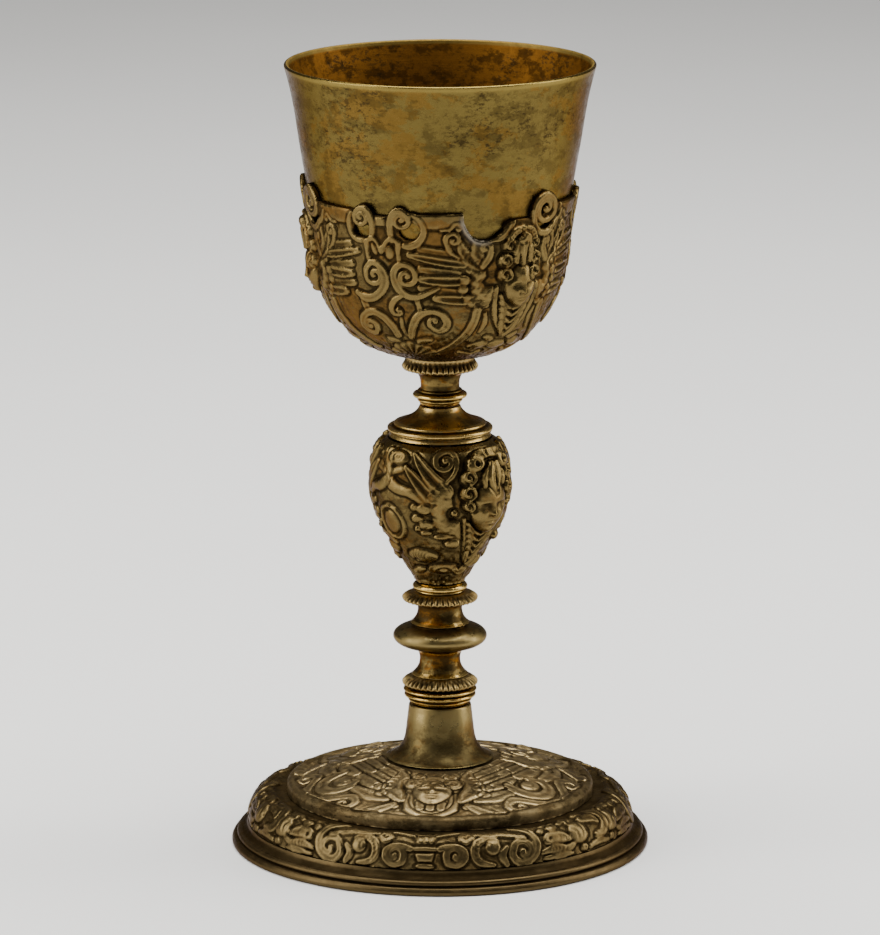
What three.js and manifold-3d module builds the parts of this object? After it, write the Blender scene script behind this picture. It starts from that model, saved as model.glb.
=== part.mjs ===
// A communion chalice of gilt brass, made the way a silversmith builds one: a raised cup with a tie rod
// soldered under it, a pierced calyx round the cup's lower half, a stack of turned and cast stem pieces
// threaded on the rod, a raised foot in three rings, and a nut inside the foot that clamps it all together.
// Millimetres, +Z up, origin at the centre of the face that the foot stands on.
import * as THREE from "three";
import { mergeVertices } from "three/addons/utils/BufferGeometryUtils.js";
import Module from "manifold-3d";

const wasm = await Module();
wasm.setup();

// Driving dimensions.
const HEIGHT = 230;
const RIM_R = 44.8; // outside of the flared lip
const FOOT_R = 61; // outside of the base rim
const CUP_WALL = 1.2;
const CALYX_WALL = 1.1;
const SHEET = 1.4; // raised sheet of the foot and the trumpet
const CAST_WALL = 2; // hollow casting of the knop
const GAP = 0.25; // seat clearance between neighbours
const ROD_R = 3;
const THREAD_DEPTH = 0.5;
const THREAD_PITCH = 1;
const BORE_R = ROD_R + 0.35; // clearance hole for the rod in the stem pieces

// Heights of the joints, from the foot up. A piece fills the space between two of them, less GAP.
const TRUMPET_FOOT_Z = 24.9;
const TRUMPET_TOP_Z = 41.4;
const STEM_RING_TOP_Z = 46.5;
const LOWER_COLLAR_TOP_Z = 49.8;
const LOWER_REEL_TOP_Z = 57.8;
const RING_KNOP_TOP_Z = 65.2;
const UPPER_REEL_TOP_Z = 71.8;
const UPPER_COLLAR_TOP_Z = 74.8;
const BASE_RING_TOP_Z = 77.9;
const KNOP_TOP_Z = 121;
const KNOP_CAP_TOP_Z = 130.2;
const SPOOL_TOP_Z = 140.5;
const CALYX_COLLAR_TOP_Z = 145;
const CUP_BASE_Z = 146.7;
const CUP_SIDE_Z = 176; // where the bowl's rounded bottom turns into its straight side
const CUP_FLARE_Z = 213; // where the side turns out to the lip
const CALYX_TOP_Z = 196.4; // the crests of the scrolls
const COLLAR_R = 11.1;
const BOSS_R = 8.4;

// Ornament: how often each design repeats, and the azimuth from +X of the head that faces the front.
const CALYX_REPEATS = 3;
const CALYX_HEAD_DEG = -53;
const KNOP_REPEATS = 2;
const KNOP_HEAD_DEG = -43;
const FOOT_REPEATS = 3;
const FOOT_HEAD_DEG = -94.5;
const GADROONS = 40;

// Plain bosses that stand for the chased heads and wings: half-widths along and across, and height.
const HEAD_BOSS = { along: 6, across: 11, height: 1.8 };
const WING_BOSS = { along: 10, across: 8, height: 0.8 };
const WING_REACH = 15; // from the middle of a head to the middle of its wing

// Faces round the axis.
const LARGE = 36; // the cup and the foot
const CALYX_FACES = 60;
const KNOP_FACES = 32;
const SMALL = 18; // a plain stem piece

const v2 = (r, z) => new THREE.Vector2(r, z);
const radians = THREE.MathUtils.degToRad;
const smooth = THREE.MathUtils.smoothstep;

// Materials, one for each finish of the metal.
const metal = (color, roughness) => new THREE.MeshStandardMaterial({ color, roughness, metalness: 1 });
const giltSheet = metal(0x8d7231, 0.34);
const giltCast = metal(0x7a6430, 0.46);
const giltTurned = metal(0x94752c, 0.3);
const giltFoot = metal(0x78622f, 0.48);
const iron = metal(0x4a4643, 0.6);

const chalice = new THREE.Group();

function add(name, geometry, material) {
  const mesh = new THREE.Mesh(geometry, material);
  mesh.name = name;
  chalice.add(mesh);
}

// Points along a cubic curve, without its first point.
function bend(from, handleA, handleB, to, steps) {
  return new THREE.CubicBezierCurve(from, handleA, handleB, to).getPoints(steps).slice(1);
}

// Points round an elliptic bead from angle a to angle b in degrees, counter-clockwise from +r.
function bead(r, z, width, height, a, b, steps) {
  const points = [];
  for (let i = 0; i <= steps; i++) {
    const turn = radians(a + ((b - a) * i) / steps);
    points.push(v2(r + width * Math.cos(turn), z + height * Math.sin(turn)));
  }
  return points;
}

// A polyline moved sideways by distance, to the left of its direction if that is positive.
function offset(points, distance) {
  return points.map((p, i) => {
    const before = points[Math.max(i - 1, 0)];
    const after = points[Math.min(i + 1, points.length - 1)];
    const along = after.clone().sub(before).normalize();
    return v2(Math.max(p.x - along.y * distance, 0), p.y + along.x * distance);
  });
}

// The closed section of a sheet of even thickness whose outside is the polyline, drawn upwards.
function sheet(outside, thickness) {
  return [...outside, ...offset(outside, thickness).reverse()];
}

// A closed profile (outside upwards, then back down the inside) turned about the Z axis.
function turned(profile, faces) {
  const closed = profile[0].x === 0 ? profile : [...profile, profile[0]];
  return new THREE.LatheGeometry(closed, faces).rotateX(Math.PI / 2);
}

// As turned, with the section changing round the axis. profileAt(azimuth) always gives as many points.
function turnedBy(profileAt, faces, firstDeg = 0) {
  const positions = [];
  const indices = [];
  const count = profileAt(0).length;
  for (let i = 0; i < faces; i++) {
    const azimuth = (i / faces) * Math.PI * 2 + radians(firstDeg);
    for (const p of profileAt(azimuth)) {
      positions.push(p.x * Math.cos(azimuth), p.x * Math.sin(azimuth), p.y);
    }
  }
  for (let i = 0; i < faces; i++) {
    const here = i * count;
    const next = ((i + 1) % faces) * count;
    for (let j = 0; j < count; j++) {
      const k = (j + 1) % count;
      indices.push(here + j, next + j, next + k, here + j, next + k, here + k);
    }
  }
  const geometry = new THREE.BufferGeometry();
  geometry.setAttribute("position", new THREE.Float32BufferAttribute(positions, 3));
  geometry.setIndex(indices);
  return geometry;
}

// The nearest of a ring of repeats: the signed angle from it, in radians.
function fromRepeat(azimuth, firstDeg, repeats) {
  const period = (Math.PI * 2) / repeats;
  const turn = azimuth - radians(firstDeg);
  return turn - Math.round(turn / period) * period;
}

// How far a boss stands out at a place given from its middle.
function bossHeight(boss, along, across) {
  return boss.height * (1 - smooth(Math.hypot(along / boss.along, across / boss.across), 0, 1));
}

// How far a winged head stands out at a place given from the middle of its face.
function wingedHead(along, across) {
  const wing = bossHeight(WING_BOSS, Math.abs(along) - WING_REACH, across);
  return Math.max(bossHeight(HEAD_BOSS, along, across), wing);
}

// manifold-3d solids, for the pieces that are pierced.
function solidOf(geometry) {
  const bare = geometry.index ? geometry.toNonIndexed() : geometry.clone();
  bare.deleteAttribute("normal");
  bare.deleteAttribute("uv");
  const merged = mergeVertices(bare, 1e-4);
  const vertProperties = merged.attributes.position.array;
  const triVerts = new Uint32Array(merged.index.array);
  return new wasm.Manifold(new wasm.Mesh({ numProp: 3, vertProperties, triVerts }));
}

function geometryOf(solid) {
  const mesh = solid.getMesh();
  const geometry = new THREE.BufferGeometry();
  geometry.setAttribute("position", new THREE.BufferAttribute(mesh.vertProperties, 3));
  geometry.setIndex(new THREE.BufferAttribute(mesh.triVerts, 1));
  return geometry;
}

// ---- Cup -------------------------------------------------------------------------------------------------

const BOWL_STEPS = 6;
const CUP_SIDE_INDEX = BOWL_STEPS; // where cupOutside has turned into the straight side

// The outside of the cup, from the edge of its flat base to its lip.
function cupOutside() {
  const base = v2(BOSS_R + GAP, CUP_BASE_Z);
  const side = v2(35.6, CUP_SIDE_Z);
  const flare = v2(41.3, CUP_FLARE_Z);
  const lip = v2(RIM_R, HEIGHT - 0.7);
  return [
    base,
    ...bend(base, v2(24.2, CUP_BASE_Z + 0.2), v2(33.8, 160), side, BOWL_STEPS),
    ...bend(side, v2(36.6, 187), v2(39.6, 201), flare, 2),
    ...bend(flare, v2(42, 218), v2(43.2, 224), lip, 2),
  ];
}

function cup() {
  const outside = [v2(0, CUP_BASE_Z), ...cupOutside()];
  const inside = offset(cupOutside(), CUP_WALL).reverse();
  const lip = [v2(RIM_R - 0.3, HEIGHT), v2(RIM_R - CUP_WALL, HEIGHT)];
  return turned([...outside, ...lip, ...inside, v2(0, CUP_BASE_Z + CUP_WALL)], LARGE);
}

// The disc soldered under the cup that carries the tie rod.
function cupBoss() {
  const top = CUP_BASE_Z - GAP;
  const bottom = CALYX_COLLAR_TOP_Z + GAP;
  const edge = [v2(BOSS_R - 0.5, bottom), v2(BOSS_R, bottom + 0.5), v2(BOSS_R, top)];
  return turned([v2(ROD_R + GAP, bottom), ...edge, v2(ROD_R + GAP, top)], SMALL);
}

// ---- Calyx -----------------------------------------------------------------------------------------------

const BAND_Z = CALYX_TOP_Z - 4; // top of the level band between the scrolls
const HEAD_PANEL_Z = CALYX_TOP_Z - 6.6; // top of the plain panel over each head
const NOTCH_Z = CALYX_TOP_Z - 11.4; // bottom of the notch where one scroll has broken off
const CALYX_HEAD_Z = 176; // middle of the heads
const SCROLL_HALF_DEG = 6;
const SIDE_SCROLL = { deg: 14.5, eyeZ: 190.2, rise: CALYX_TOP_Z - HEAD_PANEL_Z }; // from the middle of a head
const PAIR_SCROLL = { deg: 51, eyeZ: 188.4, rise: 2.4 }; // the pair over the middle of a strap panel
const EYE = { halfWidth: 2, halfHeight: 2.8, reach: 6 };

// Height of the calyx's upper edge at an azimuth: scroll crests over a level band that dips over each head.
function calyxEdge(azimuth) {
  const turn = THREE.MathUtils.radToDeg(fromRepeat(azimuth, CALYX_HEAD_DEG, CALYX_REPEATS));
  const fromHead = Math.abs(turn);
  const share = smooth(fromHead, SIDE_SCROLL.deg, SIDE_SCROLL.deg + 4);
  const level = THREE.MathUtils.lerp(HEAD_PANEL_Z, BAND_Z, share);
  const crest = (scroll) => scroll.rise * (1 - smooth(Math.abs(fromHead - scroll.deg), 2, SCROLL_HALF_DEG));
  if (isBroken(azimuth, turn)) return Math.min(level, NOTCH_Z + (level - NOTCH_Z) * brokenEdge(fromHead));
  return level + Math.max(crest(SIDE_SCROLL), crest(PAIR_SCROLL));
}

// One scroll, on the -X side of the front head, has broken off.
function isBroken(azimuth, turn) {
  const isFrontHead = Math.abs(azimuth - radians(CALYX_HEAD_DEG + turn)) < 0.01;
  const wrapped = Math.abs(azimuth - radians(CALYX_HEAD_DEG + turn + 360)) < 0.01;
  return (isFrontHead || wrapped) && turn < 0 && turn > -2 * SIDE_SCROLL.deg;
}

// 0 in the middle of the notch and 1 beyond its sides.
function brokenEdge(fromHead) {
  return smooth(Math.abs(fromHead - SIDE_SCROLL.deg), SCROLL_HALF_DEG / 2, SCROLL_HALF_DEG * 1.6);
}

function calyxProfile(azimuth) {
  const wall = cupOutside();
  const top = calyxEdge(azimuth);
  const turn = fromRepeat(azimuth, CALYX_HEAD_DEG, CALYX_REPEATS);
  const clear = (p) => v2(Math.max(p.x, BOSS_R + GAP), p.y);
  const raised = (p) => v2(p.x + wingedHead(turn * p.x, p.y - CALYX_HEAD_Z), p.y);
  const inside = offset(wall, -GAP).map(clear);
  const outside = offset(wall, -GAP - CALYX_WALL).map(raised).map(clear);
  return [...upTo(outside, top), ...upTo(inside, top).reverse()];
}

// A rising polyline with its upper half respaced to end at the given height.
function upTo(points, top) {
  const kept = points.filter((p) => p.y < CUP_SIDE_Z + 1);
  const last = kept[kept.length - 1];
  const steps = 3;
  const rest = [];
  for (let i = 1; i <= steps; i++) {
    const z = last.y + ((top - last.y) * i) / steps;
    const above = Math.max(points.findIndex((p) => p.y >= z), 1);
    const [a, b] = [points[above - 1], points[above]];
    rest.push(v2(a.x + ((b.x - a.x) * (z - a.y)) / (b.y - a.y), z));
  }
  return [...kept, ...rest];
}

// Radial oval holes through the eyes of the scrolls, apart from the broken one.
function scrollEyes() {
  const eyes = [];
  for (let i = 0; i < CALYX_REPEATS; i++) {
    const head = CALYX_HEAD_DEG + (360 * i) / CALYX_REPEATS;
    for (const scroll of [SIDE_SCROLL, PAIR_SCROLL]) {
      for (const side of [-1, 1]) {
        if (i === 0 && side < 0 && scroll === SIDE_SCROLL) continue;
        const eye = new THREE.CylinderGeometry(1, 1, 2 * EYE.reach, 8);
        eye.scale(EYE.halfWidth, 1, EYE.halfHeight);
        eye.translate(0, cupOutside()[CUP_SIDE_INDEX].x + EYE.reach / 2, scroll.eyeZ);
        eyes.push(eye.rotateZ(radians(head + side * scroll.deg - 90)));
      }
    }
  }
  return eyes;
}

function calyx() {
  let solid = solidOf(turnedBy(calyxProfile, CALYX_FACES, CALYX_HEAD_DEG));
  for (const eye of scrollEyes()) solid = solid.subtract(solidOf(eye));
  return geometryOf(solid);
}

// ---- Stem ------------------------------------------------------------------------------------------------

// A gadrooned collar: a bevelled disc whose edge and upper face are cut into lobes.
function gadroonCollar(bottom, top, shoulderR, throatR) {
  const middle = (bottom + top) / 2;
  const sectionAt = (azimuth) => {
    const lobe = 1 - 0.09 * Math.abs(Math.cos((azimuth * GADROONS) / 2)) ** 3;
    return [
      v2(BORE_R, bottom),
      v2(throatR, bottom),
      v2(COLLAR_R * lobe * 0.93, middle - 0.9),
      v2(COLLAR_R * lobe, middle),
      v2(COLLAR_R * lobe * 0.95, middle + 0.9),
      v2(shoulderR, top),
      v2(BORE_R, top),
    ];
  };
  return turnedBy(sectionAt, GADROONS * 2);
}

// A turned piece on the rod: its outside from bottom to top, with the bore through it.
function onRod(outside) {
  const bottom = outside[0].y;
  const top = outside[outside.length - 1].y;
  return turned([v2(BORE_R, bottom), ...outside, v2(BORE_R, top)], SMALL);
}

// The neck between the knop and the calyx, with a ring between two beads.
function upperSpool() {
  const bottom = KNOP_CAP_TOP_Z + GAP;
  const top = SPOOL_TOP_Z - GAP;
  const neck = v2(5.8, 136.2);
  return onRod([
    v2(5.9, bottom),
    ...bead(5.9, 131.75, 0.75, 0.6, -60, 60, 2),
    ...bead(6.4, 133.15, 1.5, 0.95, -75, 75, 4),
    v2(6.5, 134.3),
    v2(6.4, 134.8),
    neck,
    ...bend(neck, v2(5.8, 138.6), v2(6.4, 139.8), v2(7.8, top), 3),
  ]);
}

// The flared cap that closes the knop, with its stepped disc.
function knopCap() {
  const bottom = KNOP_TOP_Z + GAP;
  const shoulder = v2(12.8, 125.5);
  const top = v2(6, KNOP_CAP_TOP_Z - GAP);
  return onRod([
    v2(15, bottom),
    v2(14.5, bottom + 0.9),
    v2(15.3, 122.7),
    v2(15.3, 123.8),
    v2(14.8, 124.2),
    v2(13.2, 124.3),
    v2(13.4, 124.9),
    shoulder,
    ...bend(shoulder, v2(9.6, 126.5), v2(6.7, 127.9), top, 4),
  ]);
}

// The outside of the vase-shaped knop, from its narrow foot to its shoulder.
function knopOutside() {
  const foot = v2(7.3, BASE_RING_TOP_Z + GAP);
  const belly = v2(19.9, 108.5);
  const shoulder = v2(17.4, 119.4);
  return [
    foot,
    ...bend(foot, v2(9.4, 83), v2(19.6, 93.5), belly, 6),
    ...bend(belly, v2(19.8, 113), v2(19.3, 117), shoulder, 3),
    v2(15.2, KNOP_TOP_Z - GAP),
  ];
}

const KNOP_HEAD_Z = 105; // middle of the heads

function knopBody() {
  const outside = knopOutside();
  const inside = offset(outside, CAST_WALL).reverse();
  const sectionAt = (azimuth) => {
    const turn = fromRepeat(azimuth, KNOP_HEAD_DEG, KNOP_REPEATS);
    const raised = outside.map((p) => v2(p.x + wingedHead(turn * p.x, p.y - KNOP_HEAD_Z), p.y));
    return [...raised, ...inside];
  };
  return turnedBy(sectionAt, KNOP_FACES, KNOP_HEAD_DEG);
}

function knopBaseRing() {
  const bottom = UPPER_COLLAR_TOP_Z + GAP;
  const top = BASE_RING_TOP_Z - GAP;
  const middle = (bottom + top) / 2;
  return onRod([v2(7, bottom), ...bead(6.6, middle, 1.4, (top - bottom) / 2, -80, 80, 4), v2(7, top)]);
}

function upperReel() {
  const bottom = v2(8.6, RING_KNOP_TOP_Z + GAP);
  const waist = v2(6.5, 69.4);
  const top = v2(6.8, UPPER_REEL_TOP_Z - GAP);
  return onRod([bottom, ...bend(bottom, v2(7.4, 66.4), v2(6.5, 67.6), waist, 4), top]);
}

function ringKnop() {
  const bottom = LOWER_REEL_TOP_Z + GAP;
  const top = RING_KNOP_TOP_Z - GAP;
  const middle = (bottom + top) / 2;
  return onRod([v2(7, bottom), ...bead(7.2, middle, 6.6, (top - bottom) / 2, -75, 75, 7), v2(8.4, top)]);
}

function lowerReel() {
  const bottom = v2(8.2, LOWER_COLLAR_TOP_Z + GAP);
  const waist = v2(5.85, 54.6);
  return onRod([
    bottom,
    ...bend(bottom, v2(7, 51.4), v2(5.9, 52.6), waist, 3),
    ...bend(waist, v2(5.85, 56), v2(6.4, 56.6), v2(7, LOWER_REEL_TOP_Z - GAP), 2),
  ]);
}

// Two rounded rings on a short neck, under the lowest collar.
function stemRing() {
  const bottom = TRUMPET_TOP_Z + GAP;
  const top = STEM_RING_TOP_Z - GAP;
  return onRod([
    v2(8.8, bottom),
    v2(9.3, bottom + 0.8),
    ...bead(8.9, 43.95, 1.5, 0.8, -80, 75, 4),
    ...bead(9.1, 45.5, 1.6, 0.7, -75, 80, 4),
    v2(8.9, top),
  ]);
}

// The conical stem foot, a sheet that flares out over the top of the foot.
function footTrumpet() {
  const flare = v2(15.7, TRUMPET_FOOT_Z + GAP);
  const cone = v2(10.1, 33);
  const outside = [
    flare,
    v2(15.7, flare.y + 0.5),
    ...bend(v2(15.7, flare.y + 0.5), v2(12.4, 26.6), v2(10.5, 29), cone, 4),
    v2(9.1, TRUMPET_TOP_Z - 0.6),
    v2(8.8, TRUMPET_TOP_Z - GAP),
  ];
  const roof = TRUMPET_TOP_Z - GAP - SHEET;
  const inside = [v2(BORE_R, roof), v2(7.4, roof), v2(8.4, 32.6), v2(10, 28.2), v2(12.6, flare.y)];
  return turned([...outside, v2(BORE_R, TRUMPET_TOP_Z - GAP), ...inside], SMALL);
}

// ---- Foot ------------------------------------------------------------------------------------------------

const DOME_HOLE_R = 8.6; // open to the trumpet
const DOME_EDGE_R = 44.8;
const DOME_HEAD_R = 28; // middle of the heads
const BORDER_TOP_Z = 14.5;
const RIM_TOP_Z = 6.2;

// The upper plate of the foot: a low dome with a moulding round it and a short wall under the moulding.
function footDome() {
  const inner = v2(DOME_HOLE_R, TRUMPET_FOOT_Z - GAP);
  const dome = [v2(15.7, TRUMPET_FOOT_Z - 0.4), v2(26, 22.3), v2(35, 19.8), v2(40.4, 17.8)];
  const outside = [
    v2(DOME_EDGE_R, BORDER_TOP_Z + GAP),
    v2(DOME_EDGE_R, 16.5),
    ...bead(42.9, 16.8, 1.9, 1.7, 0, 110, 4),
    ...[...dome].reverse(),
    inner,
  ];
  const plain = sheet(outside, SHEET);
  const sectionAt = (azimuth) => {
    const turn = fromRepeat(azimuth, FOOT_HEAD_DEG, FOOT_REPEATS);
    return plain.map((p, i) => {
      const isChased = i < outside.length && p.x < DOME_EDGE_R - 4;
      return isChased ? v2(p.x, p.y + wingedHead(turn * p.x, p.x - DOME_HEAD_R)) : p;
    });
  };
  return turnedBy(sectionAt, LARGE, FOOT_HEAD_DEG);
}

// The bulging border of the foot, with a ledge inside that carries the dome.
function footBorder() {
  const bottom = v2(56.2, RIM_TOP_Z + GAP);
  const crest = v2(49.4, 15.1);
  const ledge = v2(42.4, BORDER_TOP_Z);
  const bulge = bend(bottom, v2(55.9, 11.2), v2(53.6, 15.1), crest, 5);
  return turned(sheet([bottom, ...bulge, v2(46.2, BORDER_TOP_Z), ledge], SHEET), LARGE);
}

// The base rim: a stepped moulding with a flat underside that the chalice stands on.
function baseRim() {
  const land = 4; // width of the flat underside
  return turned([
    v2(FOOT_R - land, 0),
    v2(FOOT_R - 0.2, 0),
    v2(FOOT_R, 0.3),
    v2(FOOT_R, 1.1),
    v2(60.4, 2),
    ...bead(58.6, 2.9, 0.9, 0.9, -60, 80, 3),
    ...bend(v2(58.8, 3.8), v2(57.2, 4), v2(56.5, 4.8), v2(56.4, RIM_TOP_Z), 3),
    v2(54.2, RIM_TOP_Z),
    v2(54.2, 5),
    v2(FOOT_R - land, 1.6),
  ], LARGE);
}

// ---- Tie rod and nut -------------------------------------------------------------------------------------

const ROD_BOTTOM_Z = 9.5;
const THREAD_TOP_Z = 23;
const BEARING_TOP_Z = 22.9;
const WASHER_TOP_Z = 20.8;
const NUT_TOP_Z = 19.3;
const NUT_BOTTOM_Z = 14;

// The rod, with a helical thread cut on its lower end.
function tieRod() {
  const rows = Math.round((2 * (THREAD_TOP_Z - ROD_BOTTOM_Z)) / THREAD_PITCH);
  const sectionAt = (azimuth) => {
    const profile = [v2(0, ROD_BOTTOM_Z)];
    for (let i = 0; i < rows; i++) {
      const z = ROD_BOTTOM_Z + (i * THREAD_PITCH) / 2;
      const phase = z / THREAD_PITCH - azimuth / (Math.PI * 2);
      profile.push(v2(ROD_R - THREAD_DEPTH * 2 * Math.abs(phase - Math.round(phase)), z));
    }
    profile.push(v2(ROD_R, THREAD_TOP_Z), v2(ROD_R, CUP_BASE_Z - GAP), v2(0, CUP_BASE_Z - GAP));
    return profile;
  };
  return turnedBy(sectionAt, SMALL / 2);
}

// The bearing disc that spans the hole under the trumpet, and the loose washer below it.
function disc(bottom, top, radius, chamfer) {
  const lower = [v2(radius - chamfer, bottom), v2(radius, bottom + chamfer)];
  return onRod([...lower, v2(radius, top - chamfer), v2(radius - chamfer, top)]);
}

// A square nut with chamfered faces.
function retainingNut() {
  const half = 5.2;
  const chamfer = 0.6;
  const cut = 1.2;
  const outline = new THREE.Shape([
    v2(half, -half + cut), v2(half, half - cut), v2(half - cut, half), v2(-half + cut, half),
    v2(-half, half - cut), v2(-half, -half + cut), v2(-half + cut, -half), v2(half - cut, -half),
  ]);
  outline.holes.push(new THREE.Path().absarc(0, 0, BORE_R + 0.6, 0, Math.PI * 2, true));
  const nut = new THREE.ExtrudeGeometry(outline, {
    depth: NUT_TOP_Z - NUT_BOTTOM_Z - 2 * chamfer,
    bevelThickness: chamfer,
    bevelSize: chamfer,
    bevelSegments: 1,
    curveSegments: 12,
  });
  return nut.translate(0, 0, NUT_BOTTOM_Z + chamfer);
}

add("cup", cup(), giltSheet);
add("cup_boss", cupBoss(), giltTurned);
add("calyx", calyx(), giltCast);
add("calyx_collar", gadroonCollar(SPOOL_TOP_Z, CALYX_COLLAR_TOP_Z - GAP, 10.2, 7.8), giltTurned);
add("upper_spool", upperSpool(), giltTurned);
add("knop_cap", knopCap(), giltTurned);
add("knop_body", knopBody(), giltCast);
add("knop_base_ring", knopBaseRing(), giltTurned);
add("upper_gadroon_collar", gadroonCollar(UPPER_REEL_TOP_Z, UPPER_COLLAR_TOP_Z, 8.4, 7.4), giltTurned);
add("upper_reel", upperReel(), giltTurned);
add("ring_knop", ringKnop(), giltTurned);
add("lower_reel", lowerReel(), giltTurned);
add("lower_gadroon_collar", gadroonCollar(STEM_RING_TOP_Z, LOWER_COLLAR_TOP_Z, 8.6, 9.4), giltTurned);
add("stem_ring", stemRing(), giltTurned);
add("foot_trumpet", footTrumpet(), giltTurned);
add("foot_dome", footDome(), giltFoot);
add("foot_border", footBorder(), giltFoot);
add("base_rim", baseRim(), giltFoot);
add("tie_rod", tieRod(), iron);
add("bearing_disc", disc(WASHER_TOP_Z + GAP, BEARING_TOP_Z, 11.5, 0.4), iron);
add("washer", disc(NUT_TOP_Z + GAP, WASHER_TOP_Z, 7.6, 0.2), iron);
add("retaining_nut", retainingNut(), iron);

export default chalice;
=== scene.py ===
import math

import bpy
import numpy as np
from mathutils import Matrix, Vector


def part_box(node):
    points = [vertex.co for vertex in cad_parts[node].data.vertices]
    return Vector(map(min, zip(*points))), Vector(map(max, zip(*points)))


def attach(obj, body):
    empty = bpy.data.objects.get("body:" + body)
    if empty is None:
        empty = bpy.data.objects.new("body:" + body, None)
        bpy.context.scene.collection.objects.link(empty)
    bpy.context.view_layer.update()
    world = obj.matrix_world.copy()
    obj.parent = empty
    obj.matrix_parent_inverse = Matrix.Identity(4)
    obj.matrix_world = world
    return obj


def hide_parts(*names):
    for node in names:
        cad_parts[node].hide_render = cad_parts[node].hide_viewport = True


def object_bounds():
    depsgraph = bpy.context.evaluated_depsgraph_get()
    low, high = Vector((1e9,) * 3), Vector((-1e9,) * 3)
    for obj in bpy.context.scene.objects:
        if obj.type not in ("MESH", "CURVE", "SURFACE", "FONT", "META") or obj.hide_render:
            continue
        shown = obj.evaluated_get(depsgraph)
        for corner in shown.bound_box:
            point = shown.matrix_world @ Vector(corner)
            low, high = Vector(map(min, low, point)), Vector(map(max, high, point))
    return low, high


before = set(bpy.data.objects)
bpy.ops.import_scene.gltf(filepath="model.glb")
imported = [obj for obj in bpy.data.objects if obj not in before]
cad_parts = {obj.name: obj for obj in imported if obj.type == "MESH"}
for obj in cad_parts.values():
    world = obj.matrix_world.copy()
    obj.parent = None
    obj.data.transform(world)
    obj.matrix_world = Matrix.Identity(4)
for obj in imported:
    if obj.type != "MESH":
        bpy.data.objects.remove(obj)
CAD_LO, CAD_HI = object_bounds()

DESIGN_HEIGHT = 230.0  # the outlines and the ornament below are drawn in millimetres at this height
MM = (CAD_HI.z - CAD_LO.z) / DESIGN_HEIGHT

# ---- Outlines: (radius, height) points in design millimetres --------------------------------------


def bend(start, handle_a, handle_b, end, count=24):
    """Points along a cubic curve."""
    a, b, c, d = (np.array(p, float) for p in (start, handle_a, handle_b, end))
    t = np.linspace(0, 1, count + 1)[:, None]
    return (1 - t) ** 3 * a + 3 * (1 - t) ** 2 * t * b + 3 * (1 - t) * t * t * c + t**3 * d


def bead(r, z, width, height, start=-90, end=90, count=16):
    """Points round an elliptic bead, from one angle to another in degrees."""
    a = np.radians(np.linspace(start, end, count + 1))
    return np.stack([r + width * np.cos(a), z + height * np.sin(a)], 1)


def join(*parts):
    """One line of points from lines and single points."""
    return np.vstack([np.atleast_2d(np.array(p, float)) for p in parts])


def offset(outline, distance):
    """The outline moved sideways, to the right of its direction if distance is positive."""
    along = np.gradient(outline, axis=0)
    along /= np.linalg.norm(along, axis=1)[:, None] + 1e-9
    return outline + np.stack([along[:, 1], -along[:, 0]], 1) * distance


LEAST_TURN = 0.4  # a corner that turns less than this, in radians, stays as it is


def soften(loop, reach):
    """A closed outline with its sharp corners rounded."""
    out = []
    for i, here in enumerate(loop):
        before = loop[i - 1]
        after = loop[(i + 1) % len(loop)]
        u, v = here - before, after - here
        lu, lv = np.linalg.norm(u), np.linalg.norm(v)
        if lu < 1e-6 or lv < 1e-6:
            continue
        turn = math.acos(np.clip(u @ v / lu / lv, -1, 1))
        if turn < LEAST_TURN:
            out.append(here)
            continue
        p = here - u / lu * min(reach, lu * 0.45)
        q = here + v / lv * min(reach, lv * 0.45)
        out.extend([p, (p + 2 * here + q) / 4, q])
    return np.array(out)


def evenly(outline, step):
    """The outline with points every step along it."""
    length = np.r_[0, np.cumsum(np.linalg.norm(np.diff(outline, axis=0), axis=1))]
    at = np.linspace(0, length[-1], max(int(length[-1] / step), 1) + 1)
    return np.stack([np.interp(at, length, outline[:, k]) for k in (0, 1)], 1)


PINHOLE = 2e-5  # radius left open on the axis, in metres
TURNED_EDGE_DEG = 38  # turned pieces look sharp at edges that turn more than this
CHASED_EDGE_DEG = 60

# ---- Meshes ---------------------------------------------------------------------------------------


def make_object(name, points, faces, cavity_and_shading):
    """A smooth-shaded mesh object from arrays. Points are in metres, faces all have as many corners."""
    mesh = bpy.data.meshes.new(name)
    corners = faces.shape[1]
    mesh.vertices.add(len(points))
    mesh.vertices.foreach_set("co", points.astype(np.float32).ravel())
    mesh.loops.add(faces.size)
    mesh.loops.foreach_set("vertex_index", faces.astype(np.int32).ravel())
    mesh.polygons.add(len(faces))
    mesh.polygons.foreach_set("loop_start", np.arange(0, faces.size, corners, dtype=np.int32))
    mesh.update(calc_edges=True)
    mesh.validate()
    mesh.shade_smooth()
    attribute = mesh.attributes.new("cavity_and_shading", "FLOAT", "POINT")
    attribute.data.foreach_set("value", np.clip(cavity_and_shading, 0, 1).astype(np.float32).ravel())
    piece = bpy.data.objects.new(name, mesh)
    bpy.context.scene.collection.objects.link(piece)
    return piece


def around(r, z, angle):
    """Points at radius r and height z, at an angle to the right of the front."""
    r, z, angle = np.broadcast_arrays(r, z, angle)
    return np.stack([r * np.sin(angle), -r * np.cos(angle), z], -1)


def grid_faces(rows, cols, close_rows):
    """Quads of a grid that closes round its columns, and round its rows if asked."""
    i = np.arange(rows if close_rows else rows - 1)[:, None]
    j = np.arange(cols)[None, :]
    up, right = (i + 1) % rows, (j + 1) % cols
    return np.stack([i * cols + j, i * cols + right, up * cols + right, up * cols + j], -1).reshape(-1, 4)


HOLLOW_REACH = 1.6  # how far to each side of a point its hollow is measured, in millimetres


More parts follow.
